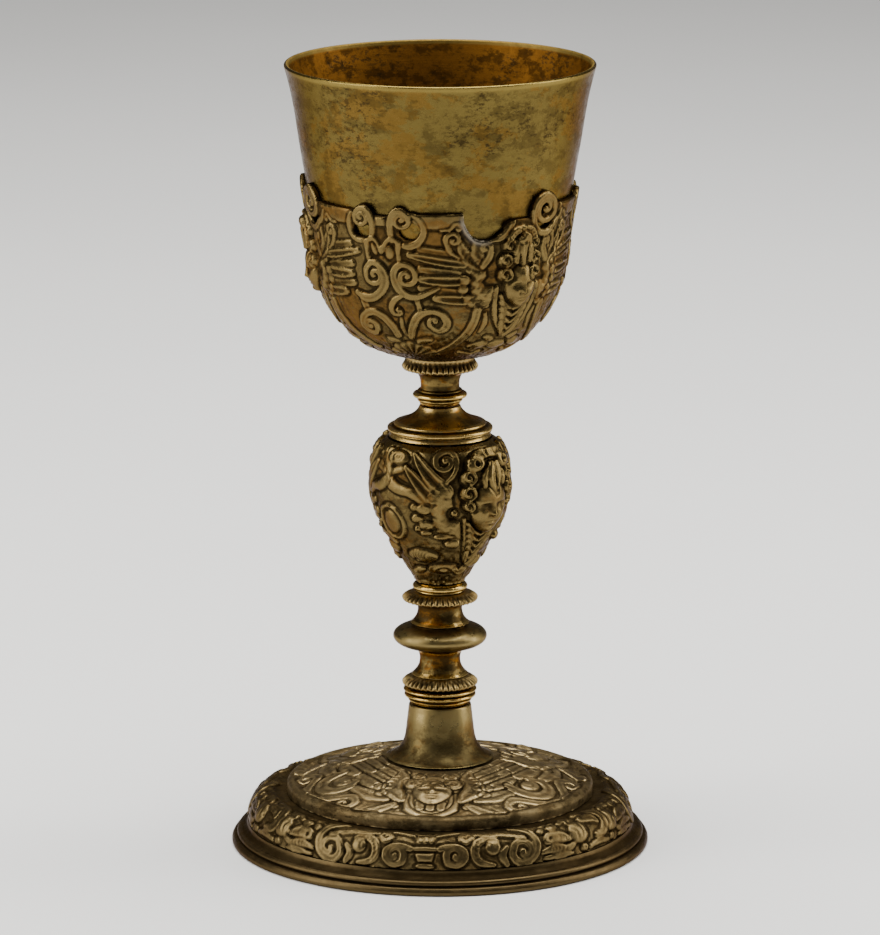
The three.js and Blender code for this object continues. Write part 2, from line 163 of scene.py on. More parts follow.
def hollows(loop):
    """How deep each point of a closed outline lies in a hollow: 0.5 on a flat, 1 in a deep corner."""
    before = np.array([walk(loop, i, -HOLLOW_REACH) for i in range(len(loop))])
    after = np.array([walk(loop, i, HOLLOW_REACH) for i in range(len(loop))])
    chord = after - before
    middle = (after + before) / 2 - loop
    side = chord[:, 1] * middle[:, 0] - chord[:, 0] * middle[:, 1]
    return 0.5 + 0.8 * side / (np.linalg.norm(chord, axis=1) + 1e-6)


def walk(loop, index, distance):
    """The point that far along a closed outline from one of its points."""
    step = 1 if distance > 0 else -1
    left = abs(distance)
    here = loop[index]
    for k in range(1, len(loop)):
        nxt = loop[(index + step * k) % len(loop)]
        length = np.linalg.norm(nxt - here)
        if length >= left:
            return here + (nxt - here) * left / (length + 1e-9)
        left -= length
        here = nxt
    return here


def fit(node, loop):
    """A closed outline in millimetres, fitted to the height and the radius of a CAD node, in metres."""
    lo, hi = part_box(node)
    low, high = loop[:, 1].min(), loop[:, 1].max()
    z = lo.z + (loop[:, 1] - low) / (high - low) * (hi.z - lo.z)
    radius = max(hi.x, hi.y, -lo.x, -lo.y)
    return np.stack([loop[:, 0] * radius / loop[:, 0].max(), z], 1)


SEGMENTS, WIDE_SEGMENTS = 192, 360  # round a stem piece, and round the cup or the rim


def revolve(name, node, loop, segments, corner=0.2, ripple=None):
    """A closed outline turned about the axis, in the place of a CAD node.

    Ripple gives the shift of each point outwards and upwards, in millimetres, and how much deeper it
    counts as lying."""
    loop = soften(np.array(loop, float), corner)
    deep = hollows(loop)
    placed = fit(node, loop)
    angle = np.arange(segments) * 2 * np.pi / segments
    r, z = placed[:, 0][:, None], placed[:, 1][:, None]
    deep = np.repeat(deep[:, None], segments, axis=1)
    if ripple is not None:
        shift_r, shift_z, deeper = ripple(loop, angle)
        r, z, deep = r + shift_r * MM, z + shift_z * MM, deep + deeper
    points = around(np.maximum(r, PINHOLE), z, angle[None, :]).reshape(-1, 3)
    faces = grid_faces(len(loop), segments, True)
    piece = make_object(name, points, faces, deep)
    piece.data.set_sharp_from_angle(angle=math.radians(TURNED_EDGE_DEG))
    return piece


# ---- Chased relief --------------------------------------------------------------------------------

RNG_SEED = 11
MARGIN = 0.9  # how far past its edge a motif still changes the ground, in millimetres
DEEPEST = 0.6  # the deepest that a groove goes under the ground
GROOVE_AT, GROOVE_WIDTH = 0.22, 0.26  # where the groove round a motif lies, and how wide it is
FAR = 99.0  # a distance past any edge
SOFTNESS = 0.26  # how far wear has rounded the carving, in millimetres
KEPT_CRISP = 0.35  # the share of the carving that wear leaves as sharp as it was cut
NEAR_REACH, FAR_REACH = 0.75, 2.6  # how far off the metal is compared, to find grooves and broad hollows
OPEN_DEPTH = 0.44  # the depth value of open ground
COARSE_GRAIN, FINE_GRAIN = 2.2, 0.5  # sizes of the unevenness of the metal, in millimetres


def blur(values, rows, cols):
    """A Gaussian blur of a map that closes round its columns. The radii are in cells."""
    pad = int(3 * rows) + 1
    padded = np.pad(values, ((pad, pad), (0, 0)), mode="edge")
    u = np.fft.fftfreq(padded.shape[0])[:, None]
    v = np.fft.rfftfreq(padded.shape[1])[None, :]
    kernel = np.exp(-2 * np.pi**2 * ((u * rows) ** 2 + (v * cols) ** 2))
    return np.fft.irfft2(np.fft.rfft2(padded) * kernel, padded.shape)[pad:-pad]


def grain(shape, size, seed):
    """Smooth random bumps of about that size in cells, with a spread of 1."""
    noise = np.random.default_rng(RNG_SEED + seed).normal(size=shape)
    soft = blur(noise, size, size)
    return soft / soft.std()


def round_top(ratio):
    """A dome: its height by the distance from its middle, with 1 at the edge."""
    return np.sqrt(np.clip(1 - ratio**2.4, 0, 1))


def strap_top(ratio):
    """A flat band with a shallow dip along its middle."""
    return np.clip(1 - ratio**6, 0, 1) ** 0.5 - 0.25 * np.exp(-((ratio / 0.5) ** 2))


def beside(ax, ay, bx, by):
    """The nearest point to (ax, ay) on a line from the origin to (bx, by): its share of the line, and how
    far off it is."""
    t = np.clip((ax * bx + ay * by) / (bx * bx + by * by + 1e-9), 0, 1)
    return t, np.hypot(ax - t * bx, ay - t * by)


class Relief:
    """A height map in millimetres laid over an outline that is turned about the axis.

    Columns run round the axis and rows run along the outline. Places are (degrees, level), where the
    degrees run to the right of the front, and the level is a height, a radius, or the length along the
    outline. A design is drawn on one repeat, and spread() copies it round.
    """

    def __init__(self, outline, step, repeats, first_deg, level="height"):
        line = evenly(outline, step)
        self.r, self.z = line[:, 0], line[:, 1]
        self.s = np.r_[0, np.cumsum(np.linalg.norm(np.diff(line, axis=0), axis=1))]
        self.step = step
        self.side_normal = offset(line, 1.0) - line
        self.sign = -1 if level == "radius" else 1
        self.ruler = {"height": self.z, "radius": -self.r, "length": self.s}[level]
        self.repeats = repeats
        self.first = first_deg
        self.cols = int(round(2 * np.pi * self.r.max() / step / repeats))
        self.gap = 360 / repeats / self.cols
        self.h = np.zeros((len(line), self.cols))
        self.edge = np.full_like(self.h, -FAR)  # distance to the nearest cut edge, negative in the metal
        self.broad = 0.58  # the half-width of a band for a width of 1
        self.aim(0)

    def aim(self, axis, side=1, squeeze=1.0):
        """Places are from now on given from this axis, to its right for side 1 or mirrored for -1."""
        self.axis, self.side, self.squeeze = axis, side, squeeze
        return self

    def place(self, deg, level):
        s = np.interp(self.sign * np.asarray(level, float), self.ruler, self.s)
        return self.axis + self.side * self.squeeze * np.asarray(deg, float), s

    def metric(self, s):
        """Millimetres to a degree at that row."""
        return np.radians(1) * np.interp(s, self.s, self.r)

    def window(self, deg, s, reach):
        """The cells within reach of some points, their degrees and s, and the millimetres to a degree."""
        low, high = np.searchsorted(self.s, [s.min() - reach, s.max() + reach])
        rows = np.arange(max(low - 1, 0), min(high + 1, len(self.s)))
        wide = reach / self.metric(self.s[rows]).min()
        first = int((deg.min() - wide - self.first) // self.gap)
        last = int((deg.max() + wide - self.first) // self.gap) + 1
        cols = np.arange(first, min(last + 1, first + self.cols))
        s = self.s[rows][:, None]
        return np.ix_(rows, cols % self.cols), self.first + cols * self.gap, s, self.metric(s)

    def lay(self, cells, past, height, groove, solid=False):
        """Puts a motif on the map: past is the distance past its edge, height its surface inside it."""
        cut = groove * np.exp(-(((past - GROOVE_AT) / GROOVE_WIDTH) ** 2)) * (past > -0.15)
        ground = np.maximum(self.h[cells] - cut, -DEEPEST)
        self.h[cells] = np.where(past < 0, np.maximum(ground, height), ground)
        if solid:
            self.edge[cells] = np.minimum(self.edge[cells], past)

    def path(self, points, widths, curl):
        """A smooth line through the points, with a curl wound on its end, and its half-widths."""
        deg, s = self.place(*np.array(points, float).T)
        widths = np.interp(np.linspace(0, 1, len(deg)), np.linspace(0, 1, len(widths)), widths)
        if curl is not None:
            deg, s, widths = self.wind(deg, s, widths, curl)
        if len(deg) < 3:
            return deg, s, widths * self.broad
        fine = []
        for values in (deg, s, widths * self.broad):
            p = np.r_[2 * values[0] - values[1], values, 2 * values[-1] - values[-2]]
            t = np.linspace(0, 1, 6, endpoint=False)[:, None]
            a, b, c, d = p[:-3], p[1:-2], p[2:-1], p[3:]
            curve = b + (c - a) * t / 2 + (2 * a - 5 * b + 4 * c - d) * t**2 / 2
            curve = curve + (3 * b - a - 3 * c + d) * t**3 / 2
            fine.append(np.r_[curve.T.ravel(), values[-1]])
        return fine[0], fine[1], np.maximum(fine[2], 0.1)

    def wind(self, deg, s, widths, curl):
        """Adds a spiral from the last point in to an eye: curl is (degrees, level, turns)."""
        eye_deg, eye_s = self.place(curl[0], curl[1])
        k = self.metric(eye_s)
        x, y = (deg[-1] - eye_deg) * k, s[-1] - eye_s
        start, reach = math.atan2(y, x), math.hypot(x, y)
        turns = curl[2] * self.side
        t = np.linspace(0, 1, max(int(abs(turns) * 12), 4) + 1)[1:]
        radius = reach * (1 - t) ** 0.85 + 0.15
        angle = start + t * turns * 2 * np.pi
        deg = np.r_[deg, eye_deg + radius * np.cos(angle) / k]
        s = np.r_[s, eye_s + radius * np.sin(angle)]
        return deg, s, np.r_[widths, np.linspace(widths[-1], max(widths[-1] * 0.72, 0.9), len(t))]

    def stroke(self, points, widths, height, base=0.0, top=strap_top, groove=0.4, curl=None, slot=0.0,
               solid=False):
        """A band along a line. A slot is a groove along its middle."""
        deg, s, half = self.path(points, widths, curl)
        cells, cell_deg, cell_s, k = self.window(deg, s, half.max() + MARGIN)
        best = np.full((len(cell_s), len(cell_deg)), FAR)
        ratio = np.full_like(best, FAR)
        share = np.zeros_like(best)
        for n in range(len(deg) - 1):
            ax, ay = (cell_deg[None, :] - deg[n]) * k, cell_s - s[n]
            bx, by = (deg[n + 1] - deg[n]) * k, s[n + 1] - s[n]
            t, distance = beside(ax, ay, bx, by)
            width = half[n] + (half[n + 1] - half[n]) * t
            nearer = distance - width < best
            best = np.where(nearer, distance - width, best)
            ratio = np.where(nearer, distance / width, ratio)
            share = np.where(nearer, (n + t) / (len(deg) - 1), share)
        surface = base + height * top(np.minimum(ratio, 1))
        if slot:
            inner = np.clip(share * 6, 0, 1) * np.clip((1 - share) * 5, 0, 1)
            surface = surface - slot * np.exp(-((ratio / 0.34) ** 2)) * inner
        self.lay(cells, best, surface, groove, solid)

    def nearness(self, points, width):
        """The cells round a line, and how near they are to it: 1 on it, fading at its ends and sides."""
        deg, s, _ = self.path(points, [width], None)
        cells, cell_deg, cell_s, k = self.window(deg, s, 3 * width)
        near = np.zeros((len(cell_s), len(cell_deg)))
        for n in range(len(deg)):
            strength = math.sin(math.pi * (n + 0.5) / len(deg)) ** 0.5
            distance = np.hypot((cell_deg[None, :] - deg[n]) * k, cell_s - s[n])
            near = np.maximum(near, strength * np.exp(-((distance / width) ** 2)))
        return cells, near

    def engrave(self, points, width=0.3, depth=0.45):
        """A line cut into whatever is there."""
        cells, near = self.nearness(points, width)
        self.h[cells] -= depth * near

    def hatch(self, points, reach, count, lean=0.8, depth=0.45):
        """Short bowed cuts side by side across a line. Lean is how far each one runs along it."""
        deg, level = np.array(points, float).T
        t = np.linspace(0, len(deg) - 1, count + 2)[1:-1]
        mid_deg, mid_level = np.interp(t, np.arange(len(deg)), deg), np.interp(t, np.arange(len(deg)), level)
        k = self.metric(self.place(0, mid_level)[1])
        ahead_x, ahead_y = np.gradient(mid_deg) * k, np.gradient(mid_level)
        length = np.hypot(ahead_x, ahead_y) + 1e-9
        ahead_x, ahead_y = ahead_x / length, ahead_y / length
        for n in range(count):
            cut = []
            for across in (-1, -0.5, 0, 0.5, 1):
                along = lean * (1 - across**2)
                x = (across * -ahead_y[n] + along * ahead_x[n]) * reach
                y = (across * ahead_x[n] + along * ahead_y[n]) * reach
                cut.append((mid_deg[n] + x / k[n], mid_level[n] + y))
            self.engrave(cut, depth=depth)

    def local(self, deg, level, reach, tilt=0.0):
        """Cells round a place, with their x to the right and y up the outline, in millimetres from it."""
        at_deg, at_s = self.place(deg, level)
        cells, cell_deg, cell_s, k = self.window(np.array([at_deg]), np.array([at_s]), reach)
        x = (cell_deg[None, :] - at_deg) * k * self.side
        y = cell_s - at_s + 0 * x
        c, d = math.cos(math.radians(tilt)), math.sin(math.radians(tilt))
        return cells, x * c + y * d, y * c - x * d

    def pad(self, deg, level, across, up, height, base=0.0, tilt=0.0, rings=0, groove=0.4):
        """An oval dome, with concentric rings cut in it if asked."""
        cells, x, y = self.local(deg, level, max(across, up) + MARGIN, tilt)
        ratio = np.hypot(x / across, y / up)
        surface = base + height * round_top(np.minimum(ratio, 1))
        if rings:
            surface = surface - 0.3 * (0.5 - 0.5 * np.cos(2 * np.pi * rings * ratio)) * (ratio < 0.9)
        self.lay(cells, (ratio - 1) * min(across, up), surface, groove)

    def dimple(self, deg, level, radius, depth):
        """A drilled dot."""
        cells, x, y = self.local(deg, level, radius + MARGIN)
        self.h[cells] -= depth * np.exp(-((np.hypot(x, y) / radius) ** 4))

    def shell(self, deg, level, radius, height, flutes, spread):
        """A scallop shell that fans out from its hinge, by spread degrees to each side."""
        cells, x, y = self.local(deg, level, radius + MARGIN)
        distance, angle = np.hypot(x, y), np.degrees(np.arctan2(x, y))
        wave = np.abs(np.cos(np.radians(angle) * flutes * 90 / spread))
        ratio = distance / (radius * (0.88 + 0.12 * wave))
        past = np.maximum((ratio - 1) * radius, (np.abs(angle) - spread) * 0.05)
        surface = height * (0.45 + 0.55 * wave) * np.sqrt(np.clip(1.1 - ratio**3, 0, 1))
        self.lay(cells, past, surface, 0.4)

    def patch(self, points, height, edge=0.7, solid=False, cut=False):
        """An area inside a closed line, raised within edge of its outline, or cut through the metal."""
        deg, s = self.place(*np.array(points, float).T)
        cells, cell_deg, cell_s, k = self.window(deg, s, MARGIN)
        nearest = np.full((len(cell_s), len(cell_deg)), FAR)
        inside = np.zeros(nearest.shape, bool)
        for n in range(len(deg)):
            m = (n + 1) % len(deg)
            ax, ay = (cell_deg[None, :] - deg[n]) * k, cell_s - s[n]
            bx, by = (deg[m] - deg[n]) * k, s[m] - s[n]
            nearest = np.minimum(nearest, beside(ax, ay, bx, by)[1])
            crosses = (ay < 0) != (ay < by)
            inside ^= crosses & (bx * ay / (by or 1.0) > ax)
        past = np.where(inside, -nearest, nearest)
        if cut:
            self.edge[cells] = np.maximum(self.edge[cells], -past)
            return
        self.lay(cells, past, height * np.clip(nearest / edge, 0, 1) ** 0.6, 0.4, solid)

    def hole(self, deg, level, across, up, tilt=0.0):
        """An oval hole through the metal."""
        cells, x, y = self.local(deg, level, max(across, up) + MARGIN, tilt)
        past = (1 - np.hypot(x / across, y / up)) * min(across, up)
        self.edge[cells] = np.maximum(self.edge[cells], past)

    def spread(self):
        """Copies the repeat round the axis."""
        self.h = np.tile(self.h, (1, self.repeats))
        self.edge = np.tile(self.edge, (1, self.repeats))
        self.cols *= self.repeats
        self.repeats = 1

    def smeared(self, reach):
        """The height map blurred over that many millimetres."""
        return blur(self.h, reach / self.step, reach / self.step)

    def finish(self, outline, lowness, plain=(), unevenness=0.07, painted_shading=0.0):
        """Wears the chasing soft and low, and sets the depth map that the tarnish and the painted highlights
        follow.

        Outline says how dark the grooves get, and lowness how much of each motif's height is lost. Between
        the plain lengths along the outline the metal is smooth, and painted_shading says how much deeper it
        counts
        there: painted shade where it is positive, painted light where it is negative."""
        self.h = KEPT_CRISP * self.h + (1 - KEPT_CRISP) * self.smeared(SOFTNESS)
        near = self.smeared(NEAR_REACH) - self.h
        far = self.smeared(FAR_REACH) - self.h
        self.deep = OPEN_DEPTH + outline * near + 0.25 * far
        ground = np.clip(1 - self.h / 0.5, 0, 1)
        self.h -= lowness * np.clip(self.h, 0, 1.2)
        rough = np.full((len(self.s), 1), unevenness)
        for low, high in plain:
            rough[(self.s > low) & (self.s < high)] *= 0.15
            # Painted shade on the plain lengths; a negative value paints light there instead.
            self.deep[(self.s > low) & (self.s < high)] += painted_shading
        self.h += rough * grain(self.h.shape, COARSE_GRAIN / self.step, 1)
        self.h += rough * (0.4 + 0.6 * ground) * grain(self.h.shape, FINE_GRAIN / self.step, 2)

    def points(self, lift):
        """Mesh points in metres, raised by lift from the outline."""
        angle = np.radians(self.first + np.arange(self.cols) * self.gap)[None, :]
        r = self.r[:, None] + self.side_normal[:, 0][:, None] * lift
        z = self.z[:, None] + self.side_normal[:, 1][:, None] * lift
        return around(r * MM, z * MM, angle)


def solid_relief(name, relief, back):
    """A closed body: the relief in front, and a plain outline behind that runs back to its start."""
    front = relief.points(relief.h)
    angle = np.radians(relief.first + np.arange(relief.cols) * relief.gap)[None, :]
    rear = around(back[:, 0][:, None] * MM, back[:, 1][:, None] * MM, angle)
    points = np.concatenate([front, rear]).reshape(-1, 3)
    faces = grid_faces(len(relief.s) + len(back), relief.cols, True)
    deep = np.concatenate([relief.deep, np.full((len(back), relief.cols), 0.5)])
    piece = make_object(name, points, faces, deep)
    piece.data.set_sharp_from_angle(angle=math.radians(CHASED_EDGE_DEG))
    return piece


def snap(edge):
    """Moves grid points beside the cut edge on to it. Returns the moves in cells and the new distances."""
    best = np.full(edge.shape, FAR)
    move = np.zeros(edge.shape + (2,))
    for di, dj in ((0, 1), (0, -1), (1, 0), (-1, 0), (1, 1), (-1, -1)):
        beside = np.roll(edge, (-di, -dj), (0, 1))
        if di:
            beside[-1 if di > 0 else 0] = edge[-1 if di > 0 else 0]
        t = edge / np.where(edge == beside, 1, edge - beside)
        length = t * math.hypot(di, dj)
        better = (edge * beside < 0) & (t <= 0.5) & (length < best)
        best = np.where(better, length, best)
        move[better] = np.stack([di * t, dj * t], -1)[better]
    return move, np.where(best < FAR, 0.0, edge)


def pierced_relief(name, relief, thickness, rim=1.8):
    """A pierced sheet: the relief in front, walls along each cut edge, and a strip of its back there."""
    move, edge = snap(relief.edge)
    near = np.clip(1 + relief.edge / 0.55, 0, 1)
    lift = relief.h - 0.35 * near**2
    row = np.arange(len(relief.s))[:, None] + move[..., 0]
    col = np.arange(relief.cols)[None, :] + move[..., 1]
    angle = np.radians(relief.first + col * relief.gap)

    def surface(height):
        at = [np.interp(row, np.arange(len(relief.s)), v) for v in (relief.r, relief.z)]
        out = [np.interp(row, np.arange(len(relief.s)), v) for v in relief.side_normal.T]
        return around((at[0] + out[0] * height) * MM, (at[1] + out[1] * height) * MM, angle).reshape(-1, 3)

    i = np.arange(len(relief.s) - 1)[:, None]
    j = np.arange(relief.cols)[None, :]
    a, b = i * relief.cols + j, i * relief.cols + (j + 1) % relief.cols
    tris = np.stack([np.stack([a, b, b + relief.cols], -1),
                     np.stack([a, b + relief.cols, a + relief.cols], -1)])
    tris = tris.reshape(-1, 3)
    flat, raw = edge.ravel(), relief.edge.ravel()
    tris = tris[(flat[tris] <= 0).all(1) & (raw[tris].mean(1) < 0.15)]
    walls, strip = rim_faces(tris, flat, rim)
    count = flat.size
    points = np.concatenate([surface(lift), surface(lift), surface(-thickness)])
    faces = np.concatenate([tris, walls, strip])
    deep = np.concatenate([relief.deep.ravel(), np.full(2 * count, 0.55)])
    used = np.unique(faces)
    index = np.zeros(3 * count, np.int64)
    index[used] = np.arange(len(used))
    piece = make_object(name, points[used], index[faces], deep[used])
    solder = piece.data.attributes.new("solder", "FLOAT", "POINT")
    solder.data.foreach_set("value", np.tile(relief.solder.ravel(), 3)[used].astype(np.float32))
    return piece


def rim_faces(tris, edge, rim):
    """Walls down from the open edges of a sheet, and its back within rim of them. The sheet's own points
    come first, then their copies at the top of the walls, then those at the back."""
    count = edge.size
    sides = np.concatenate([tris[:, [0, 1]], tris[:, [1, 2]], tris[:, [2, 0]]])
    key = sides[:, 0] * count + sides[:, 1]
    opposite = sides[:, 1] * count + sides[:, 0]
    a, b = sides[~np.isin(key, opposite)].T
    top_a, top_b, back_a, back_b = a + count, b + count, a + 2 * count, b + 2 * count
    walls = np.concatenate([np.stack([back_a, back_b, top_b], 1), np.stack([back_a, top_b, top_a], 1)])
    strip = tris[(edge[tris] > -rim).all(1)][:, ::-1] + 2 * count
    return walls, strip


# ---- Cherub heads ---------------------------------------------------------------------------------


FACE = (  # height, place to the side and up, width and tallness of each bump; one off the middle is a pair
    (0.45, 0.44, -0.25, 0.28, 0.24),  # cheeks
    (-0.85, 0.40, 0.10, 0.24, 0.12),  # eye sockets
    (0.50, 0.40, 0.08, 0.13, 0.06),  # eyes
    (0.30, 0.40, 0.24, 0.26, 0.05),  # brows
    (0.75, 0, -0.02, 0.10, 0.22),  # bridge of the nose
    (0.85, 0, -0.18, 0.15, 0.08),  # tip of the nose
    (-0.45, 0.20, -0.24, 0.08, 0.07),  # folds beside the nose
    (0.45, 0, -0.41, 0.22, 0.045),  # upper lip
    (0.45, 0, -0.53, 0.17, 0.05),  # lower lip
    (-0.55, 0, -0.47, 0.26, 0.025),  # line of the mouth
    (-0.30, 0, -0.63, 0.16, 0.05),  # hollow under the lips
    (0.50, 0, -0.80, 0.20, 0.14),  # chin
    (0.25, 0, 0.5, 0.5, 0.3),  # forehead
)
FACE_SWELL = 2.1  # how far a face rises in the middle, in millimetres


def face(relief, deg, level, half_width, half_height, base, depth=1.0):
    """A calm child's face with even features."""
    cells, x, y = relief.local(deg, level, half_height + MARGIN)
    x, y = x / half_width, y / half_height
    jaw = 1 + 0.2 * np.clip(-y - 0.2, 0, 1)
    ratio = np.hypot(x * jaw, y)
    form = FACE_SWELL * round_top(np.minimum(ratio, 1)) ** 0.8
    for height, at_x, at_y, wide, tall in FACE:
        form += height * np.exp(-(((np.abs(x) - at_x) / wide) ** 2) - ((y - at_y) / tall) ** 2)
    relief.lay(cells, (ratio - 1) * half_width, base + depth * form, 0.5)


LOCK_START = ((0.2, -0.75), (0.75, -0.2), (0.55, 0.5))  # how a lock comes in, in radii from its eye


def lock(relief, deg, level, radius, height, base, side=1):
    """A curled lock of hair: a spiral round a drilled eye."""
    reach = side * radius / relief.metric(relief.place(0, level)[1])
    relief.pad(deg, level, radius, radius * 0.95, 0.3 * height, base=base, groove=0.6)
    start = [(deg - across * reach, level + up * radius) for across, up in LOCK_START]
    width = radius * 0.42
    curl = (deg, level, -0.9 * side)
    relief.stroke(start, [width * 0.8, width], height, base=base, top=round_top, groove=0.3, curl=curl)
    relief.dimple(deg, level, radius * 0.16, 0.5 * height)


# ---- Calyx: its sheet, ornament and cut edge ------------------------------------------------------

SEAT = 0.25  # the clearance between the cup and its calyx
CALYX_WALL = 1.1
CALYX_TOP = 199  # above the highest scroll
CALYX_HEAD, KNOP_HEAD, FOOT_HEAD = 37.5, 47, -4.5  # where a head looks, in degrees to the right


def cup_side():
    """The outside of the cup, from its flat base to below the lip."""
    bowl = bend((8.65, 146.7), (24.2, 146.9), (33.8, 160), (35.6, 176), 60)
    return join(bowl, bend((35.6, 176), (36.6, 187), (39.6, 201), (41.3, 213), 30)[1:])


def block(left, right, low, high):
    """The corners of an upright block."""
    return [(left, low), (left, high), (right, high), (right, low)]


def calyx_edge(relief):
    """The upper edge of the sheet, under the scrolls that rise over it."""
    edge = [(-24.5, 191.7), (-13, 192), (-11, 192.7), (16, 193), (24, 190.6), (28, 190.2), (46, 190.2),
            (51, 190.6), (58, 193), (83, 192.7), (85, 192), (95.5, 191.7)]
    deg = relief.first + np.arange(relief.cols) * relief.gap
    level = np.interp(deg, *np.array(edge).T, period=120)
    relief.edge = relief.s[:, None] - np.interp(level, relief.z, relief.s)[None, :]


def calyx_wing(relief):
    """One wing of a head, with places from the middle of the head."""
    for level, base in ((182.6, 34), (176.8, 30), (171.2, 30)):
        relief.stroke([(base, level - 1.2), (46, level)], [2.4, 2.0], 0.6, slot=0.3)
    relief.stroke([(27, 178.2), (38, 179.3), (51, 180.9)], [2.3, 2.5, 1.7], 1.15, slot=0.7)
    relief.stroke([(26, 173.4), (36, 173.5), (45.5, 173.9)], [2.8, 3.0, 2.2], 1.15, slot=0.7)
    relief.stroke([(24, 167.6), (32, 167.8), (39, 168.2)], [3.0, 3.0, 2.2], 1.15, slot=0.7)
    places = [(23.7, 176.4), (26.3, 173.6), (27.0, 170.8), (24.5, 168.2), (21.9, 166.2), (19, 164.9),
              (16, 166.1)]
    for deg, level in places:
        relief.pad(deg, level, 1.6, 1.4, 1.2, rings=1)
    body = [(22, 177.8), (19, 178), (16.8, 176.2), (16.4, 174.4), (18.4, 172.8), (17, 171.5), (13.4, 171.5),
            (11, 170.6), (10.8, 168), (13, 166.3), (16.4, 165.6), (19.8, 166), (22.4, 167.8), (24, 170.4),
            (24.2, 173.4), (23.4, 175.8)]
    relief.patch(body, 1.5, edge=2.2)
    for deg, level in ((22.4, 168.4), (20, 166.6), (17, 165.6), (23.8, 171), (23.8, 173.8)):
        relief.engrave([(deg + 1.4, level + 0.8), (deg - 1.6, level + 0.4), (deg + 1.0, level - 0.9)],
                       depth=0.5)
    relief.hatch([(20, 175.6), (20.8, 171.6), (16, 168.6), (13, 168.8)], 0.8, 6, depth=0.3)


def calyx_leaf(relief):
    """The tulip leaf and the small curls over a wing."""
    relief.stroke([(19, 177.5), (23.5, 179.2), (27.5, 182), (29, 185)], [2.4, 3.4, 2.8, 1.2], 0.8, slot=0.3)
    relief.stroke([(18.6, 178), (21, 181), (21.5, 185)], [2.2, 3.6, 2.2], 0.8, slot=0.3)
    relief.hatch([(19.5, 177.8), (24, 179.4), (28, 183)], 0.9, 5)
    relief.stroke([(18.4, 177.5), (15.6, 180.3), (15.2, 183)], [1.8, 2.2, 1.4], 1.0, curl=(17.6, 182.6, -0.8))
    relief.stroke([(29.5, 180.2), (32.8, 181.8), (34.9, 184.6)], [0.8, 1.2, 1.3], 0.9,
                  curl=(31.8, 185.4, 1.2))
    relief.stroke([(37, 188.3), (33.5, 188.4), (31.5, 190)], [0.8, 1.0, 0.9], 0.7, curl=(30.2, 188.6, 0.6))


def side_scroll(relief):
    """The large pierced scroll that rises beside a head."""
    relief.hole(13.6, 188.0, 3.1, 2.0, tilt=20)
    ring = [(19.5, 187.2), (15.5, 185.3), (10.5, 185.6), (6.6, 188), (5.7, 191.6), (7.6, 194.8),
            (12.5, 196.2), (17.2, 194.5), (18.6, 191.6)]
    relief.stroke(ring, [1.6, 1.9, 1.9, 1.9, 1.8], 1.15, curl=(12.6, 192.4, -1.35), solid=True)
    relief.stroke([(19.5, 187.2), (22.5, 188.6), (24.5, 191)], [1.8, 1.4, 0.9], 0.8, solid=True)


def calyx_head(relief):
    """A cherub's face with its hair and its ribbed collar."""
    for side in (-1, 1):
        relief.aim(relief.axis, side)
        relief.stroke([(11.2, 170.6), (11.2, 166.3), (9.3, 161.6), (5, 157.9), (0, 156.2)], [1.4, 1.5, 1.3],
                      0.9)
        for n in range(5):
            top = 168.4 - 2.1 * n
            rib = [(8.7 - 0.8 * n, top), (5.4 - 0.5 * n, top - 3.1), (0.2, top - 4.6)]
            relief.stroke(rib, [1.2, 1.5, 1.1], 1.0, base=0.25)
    relief.pad(0, 178.5, 6.0, 9.0, 1.0, base=0.5)
    face(relief, 0.8, 171, 5.2, 6.6, 0.9, 1.0)
    for side in (-1, 1):
        relief.aim(relief.axis, side)
        for deg, level in ((7.8, 174.6), (7.9, 178.8), (6.2, 183)):
            lock(relief, deg, level, 2.3, 1.3, 0.9)
        relief.stroke([(6.4, 185), (4, 187), (0.5, 187.6)], [1.6, 2.0, 1.8], 1.3, base=0.9)
        relief.stroke([(1.6, 185), (3.4, 181.5), (3.4, 178)], [1.4, 1.8, 0.9], 1.0, base=2.0)
    relief.stroke([(0.5, 186), (-0.6, 182), (0.2, 177.4)], [1.8, 2.0, 0.8], 1.2, base=2.1)
    relief.stroke([(-1.5, 184.6), (1.5, 185.8), (2.8, 184)], [1.2, 1.5, 1.0], 1.0, base=2.2)
    for side in (-1, 1):
        relief.hatch([(side * 7, 184), (side * 4.4, 187), (side * 1, 188)], 0.8, 5)
        relief.engrave([(side * 2.2, 185), (side * 3.8, 181.8), (side * 3.6, 178.6)])


def calyx_fringe(relief):
    """Buds, leaves and the slanting straps under a head, on both sides of it."""
    relief.pad(0, 155.7, 1.8, 1.3, 1.1)
    relief.pad(0, 152.2, 3.4, 1.9, 1.1, rings=1)
    for side in (-1, 1):
        relief.aim(relief.axis, side)
        relief.pad(13.5, 152.6, 3.2, 1.8, 1.1, tilt=-20, rings=1)
        relief.pad(8.5, 154.6, 2.0, 1.2, 0.7, tilt=30)
        strap = [(19.5, 164), (20.2, 160.8), (22.6, 157.4), (27, 154.3), (33, 151.9), (38, 150.7)]
        relief.stroke(strap, [2.3, 2.3, 2.1, 1.2], 0.9)
        relief.stroke([(10, 150.2), (14, 149.2), (24, 150)], [1.2, 1.8, 1.2], 0.7)
        relief.stroke([(15, 163), (14.2, 160), (16, 157)], [0.9, 1.3, 0.8], 0.5)


